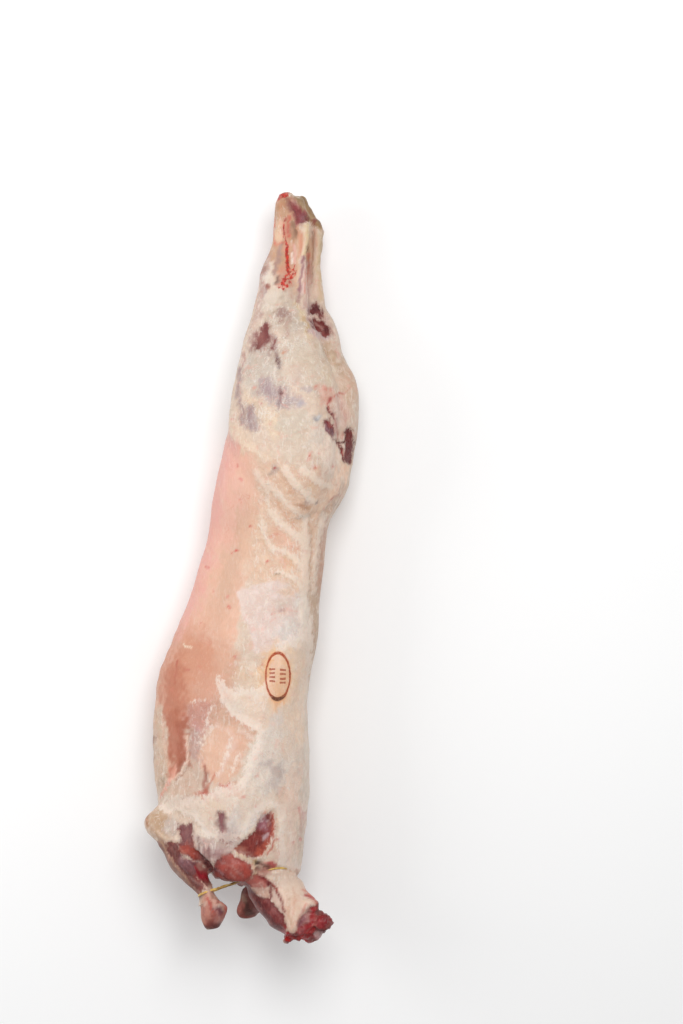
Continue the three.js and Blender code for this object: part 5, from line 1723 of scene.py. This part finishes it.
def closed_curve(knots, share):
    """Points on the smooth closed curve through the knots; share runs from 0 to 1."""
    place = (share % 1.0) * len(knots)
    index = np.floor(place).astype(int)
    t = (place - index)[:, None]
    before, start, end, after = (knots[(index + step) % len(knots)] for step in (-1, 0, 1, 2))
    return 0.5 * (2 * start + (end - before) * t + (2 * before - 5 * start + 4 * end - after) * t ** 2
                  + (3 * start - before - 3 * end + after) * t ** 3)


def unit(vectors):
    return vectors / np.linalg.norm(vectors, axis=1, keepdims=True)


def band_knots():
    skin = BVHTree.FromPolygons([vertex.co for vertex in lamb.data.vertices],
                                [face.vertices[:] for face in lamb.data.polygons])
    knots = []
    for column, row, height in BAND_ROUTE:
        if height is ON_SKIN:
            height = skin_height(skin, column, row) + BAND_THICKNESS / 2 - BAND_SINK
        knots.append(from_picture(column, row, height))
    return np.array(knots)


# %% Make the band
def make_band(knots):
    """A torus whose rings are carried to the closed curve through the knots."""
    bpy.ops.object.select_all(action="DESELECT")
    bpy.ops.mesh.primitive_torus_add(major_segments=BAND_RINGS, minor_segments=BAND_SIDES,
                                     major_radius=1.0, minor_radius=TORUS_TUBE)
    band = bpy.context.active_object
    band.name = "elastic_band"
    straight = points_of(band)
    around = np.arctan2(straight[:, 1], straight[:, 0]) / (2 * math.pi)
    offset_out = (np.hypot(straight[:, 0], straight[:, 1]) - 1.0) / TORUS_TUBE
    offset_side = straight[:, 2] / TORUS_TUBE
    step = 0.5 / BAND_RINGS
    middle = closed_curve(knots, around)
    ahead = unit(closed_curve(knots, around + step) - closed_curve(knots, around - step))
    outward = middle - knots.mean(axis=0)
    outward = unit(outward - (outward * ahead).sum(axis=1, keepdims=True) * ahead)
    side = np.cross(ahead, outward)
    turned_share = ramp(around % 1.0, FREE_KNOTS[0] / len(knots), FREE_KNOTS[1] / len(knots))
    twist = 2 * math.pi * turned_share
    flat_out, flat_side = offset_out * BAND_THICKNESS / 2, offset_side * BAND_WIDTH / 2
    along_out = flat_out * np.cos(twist) - flat_side * np.sin(twist)
    along_side = flat_out * np.sin(twist) + flat_side * np.cos(twist)
    put_points(band, middle + outward * along_out[:, None] + side * along_side[:, None])
    bpy.ops.object.shade_smooth()
    return band


def band_material():
    material = bpy.data.materials.new("old elastic")
    material.use_nodes = True
    tree = material.node_tree
    surface = tree.nodes["Principled BSDF"]
    place = tree.nodes.new("ShaderNodeTexCoord").outputs["Object"]
    stains = smooth_step(tree, noise(tree, place, 55, 4.0, 0.6), 0.4, 0.62)
    colour = mix_colour(tree, stains, shade((222, 186, 98)), shade((184, 144, 76)))
    dirt = smooth_step(tree, noise(tree, place, 420, 4.0, 0.7), 0.5, 0.64)
    colour = mix_colour(tree, times(tree, dirt, 0.35), colour, shade((110, 74, 44)))
    tree.links.new(colour, surface.inputs["Base Color"])
    bump = tree.nodes.new("ShaderNodeBump")
    bump.inputs["Strength"].default_value = 0.4
    bump.inputs["Distance"].default_value = 0.0004
    tree.links.new(noise(tree, place, 700, 3.0), bump.inputs["Height"])
    tree.links.new(bump.outputs["Normal"], surface.inputs["Normal"])
    surface.inputs["Roughness"].default_value = 0.42
    surface.inputs["Subsurface Weight"].default_value = 0.1
    surface.inputs["Subsurface Scale"].default_value = 0.002
    return material


elastic_band = make_band(band_knots())
elastic_band.data.materials.append(band_material())
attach(elastic_band, "root")
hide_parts("tie_band")
print("band rings:", BAND_RINGS, "points:", len(elastic_band.data.vertices))

# %% [markdown]
# ## Floor, light and camera
#
# The carcass lies on a plain pale floor. A broad soft lamp hangs over it, as in
# a photo studio, and a pale sky fills the shadows. The camera looks straight
# down through a long lens, because the carcass hung upright in front of the
# photographer and now lies with the same side up.

# %% Floor
FLOOR_SIZE = 9.0

bpy.ops.object.select_all(action="DESELECT")
bpy.ops.mesh.primitive_plane_add(size=FLOOR_SIZE, location=(0, 0, 0))
floor = bpy.context.active_object
floor.name = "studio_floor"
floor_material = bpy.data.materials.new("pale floor")
floor_material.use_nodes = True
floor_surface = floor_material.node_tree.nodes["Principled BSDF"]
floor_surface.inputs["Base Color"].default_value = (0.93, 0.93, 0.93, 1)
floor_surface.inputs["Roughness"].default_value = 0.8
floor.data.materials.append(floor_material)

# %% Light
SKY_STRENGTH = 0.485

world = bpy.data.worlds.new("pale sky")
bpy.context.scene.world = world
world.use_nodes = True
world.node_tree.nodes["Background"].inputs["Color"].default_value = (1, 1, 1, 1)
world.node_tree.nodes["Background"].inputs["Strength"].default_value = SKY_STRENGTH


def soft_lamp(name, place, size, power):
    """A square lamp that points at the middle of the carcass."""
    data = bpy.data.lights.new(name, "AREA")
    data.size = size
    data.energy = power
    lamp = bpy.data.objects.new(name, data)
    bpy.context.scene.collection.objects.link(lamp)
    lamp.location = place
    away = np.array(place) - np.array((0, 0, 0.1))
    away /= np.linalg.norm(away)
    lamp.rotation_euler = (math.acos(away[2]), 0, math.atan2(away[1], away[0]) + math.pi / 2)
    return lamp


soft_lamp("overhead softbox", (0.3, 0.9, 2.6), 1.5, 46)
soft_lamp("side softbox", (-2.2, 0.3, 1.5), 1.4, 20)

# %% Camera
camera_data = bpy.data.cameras.new("camera")
camera_data.lens = LENS
camera_data.sensor_width = SENSOR
camera = bpy.data.objects.new("camera", camera_data)
bpy.context.scene.collection.objects.link(camera)
camera.location = (*from_picture(*PICTURE_MIDDLE, SHARP_HEIGHT)[:2], SHARP_HEIGHT + CAMERA_DROP)
bpy.context.scene.camera = camera
bpy.context.scene.view_settings.view_transform = "Standard"
print("camera height:", round(camera.location.z, 2), "m")
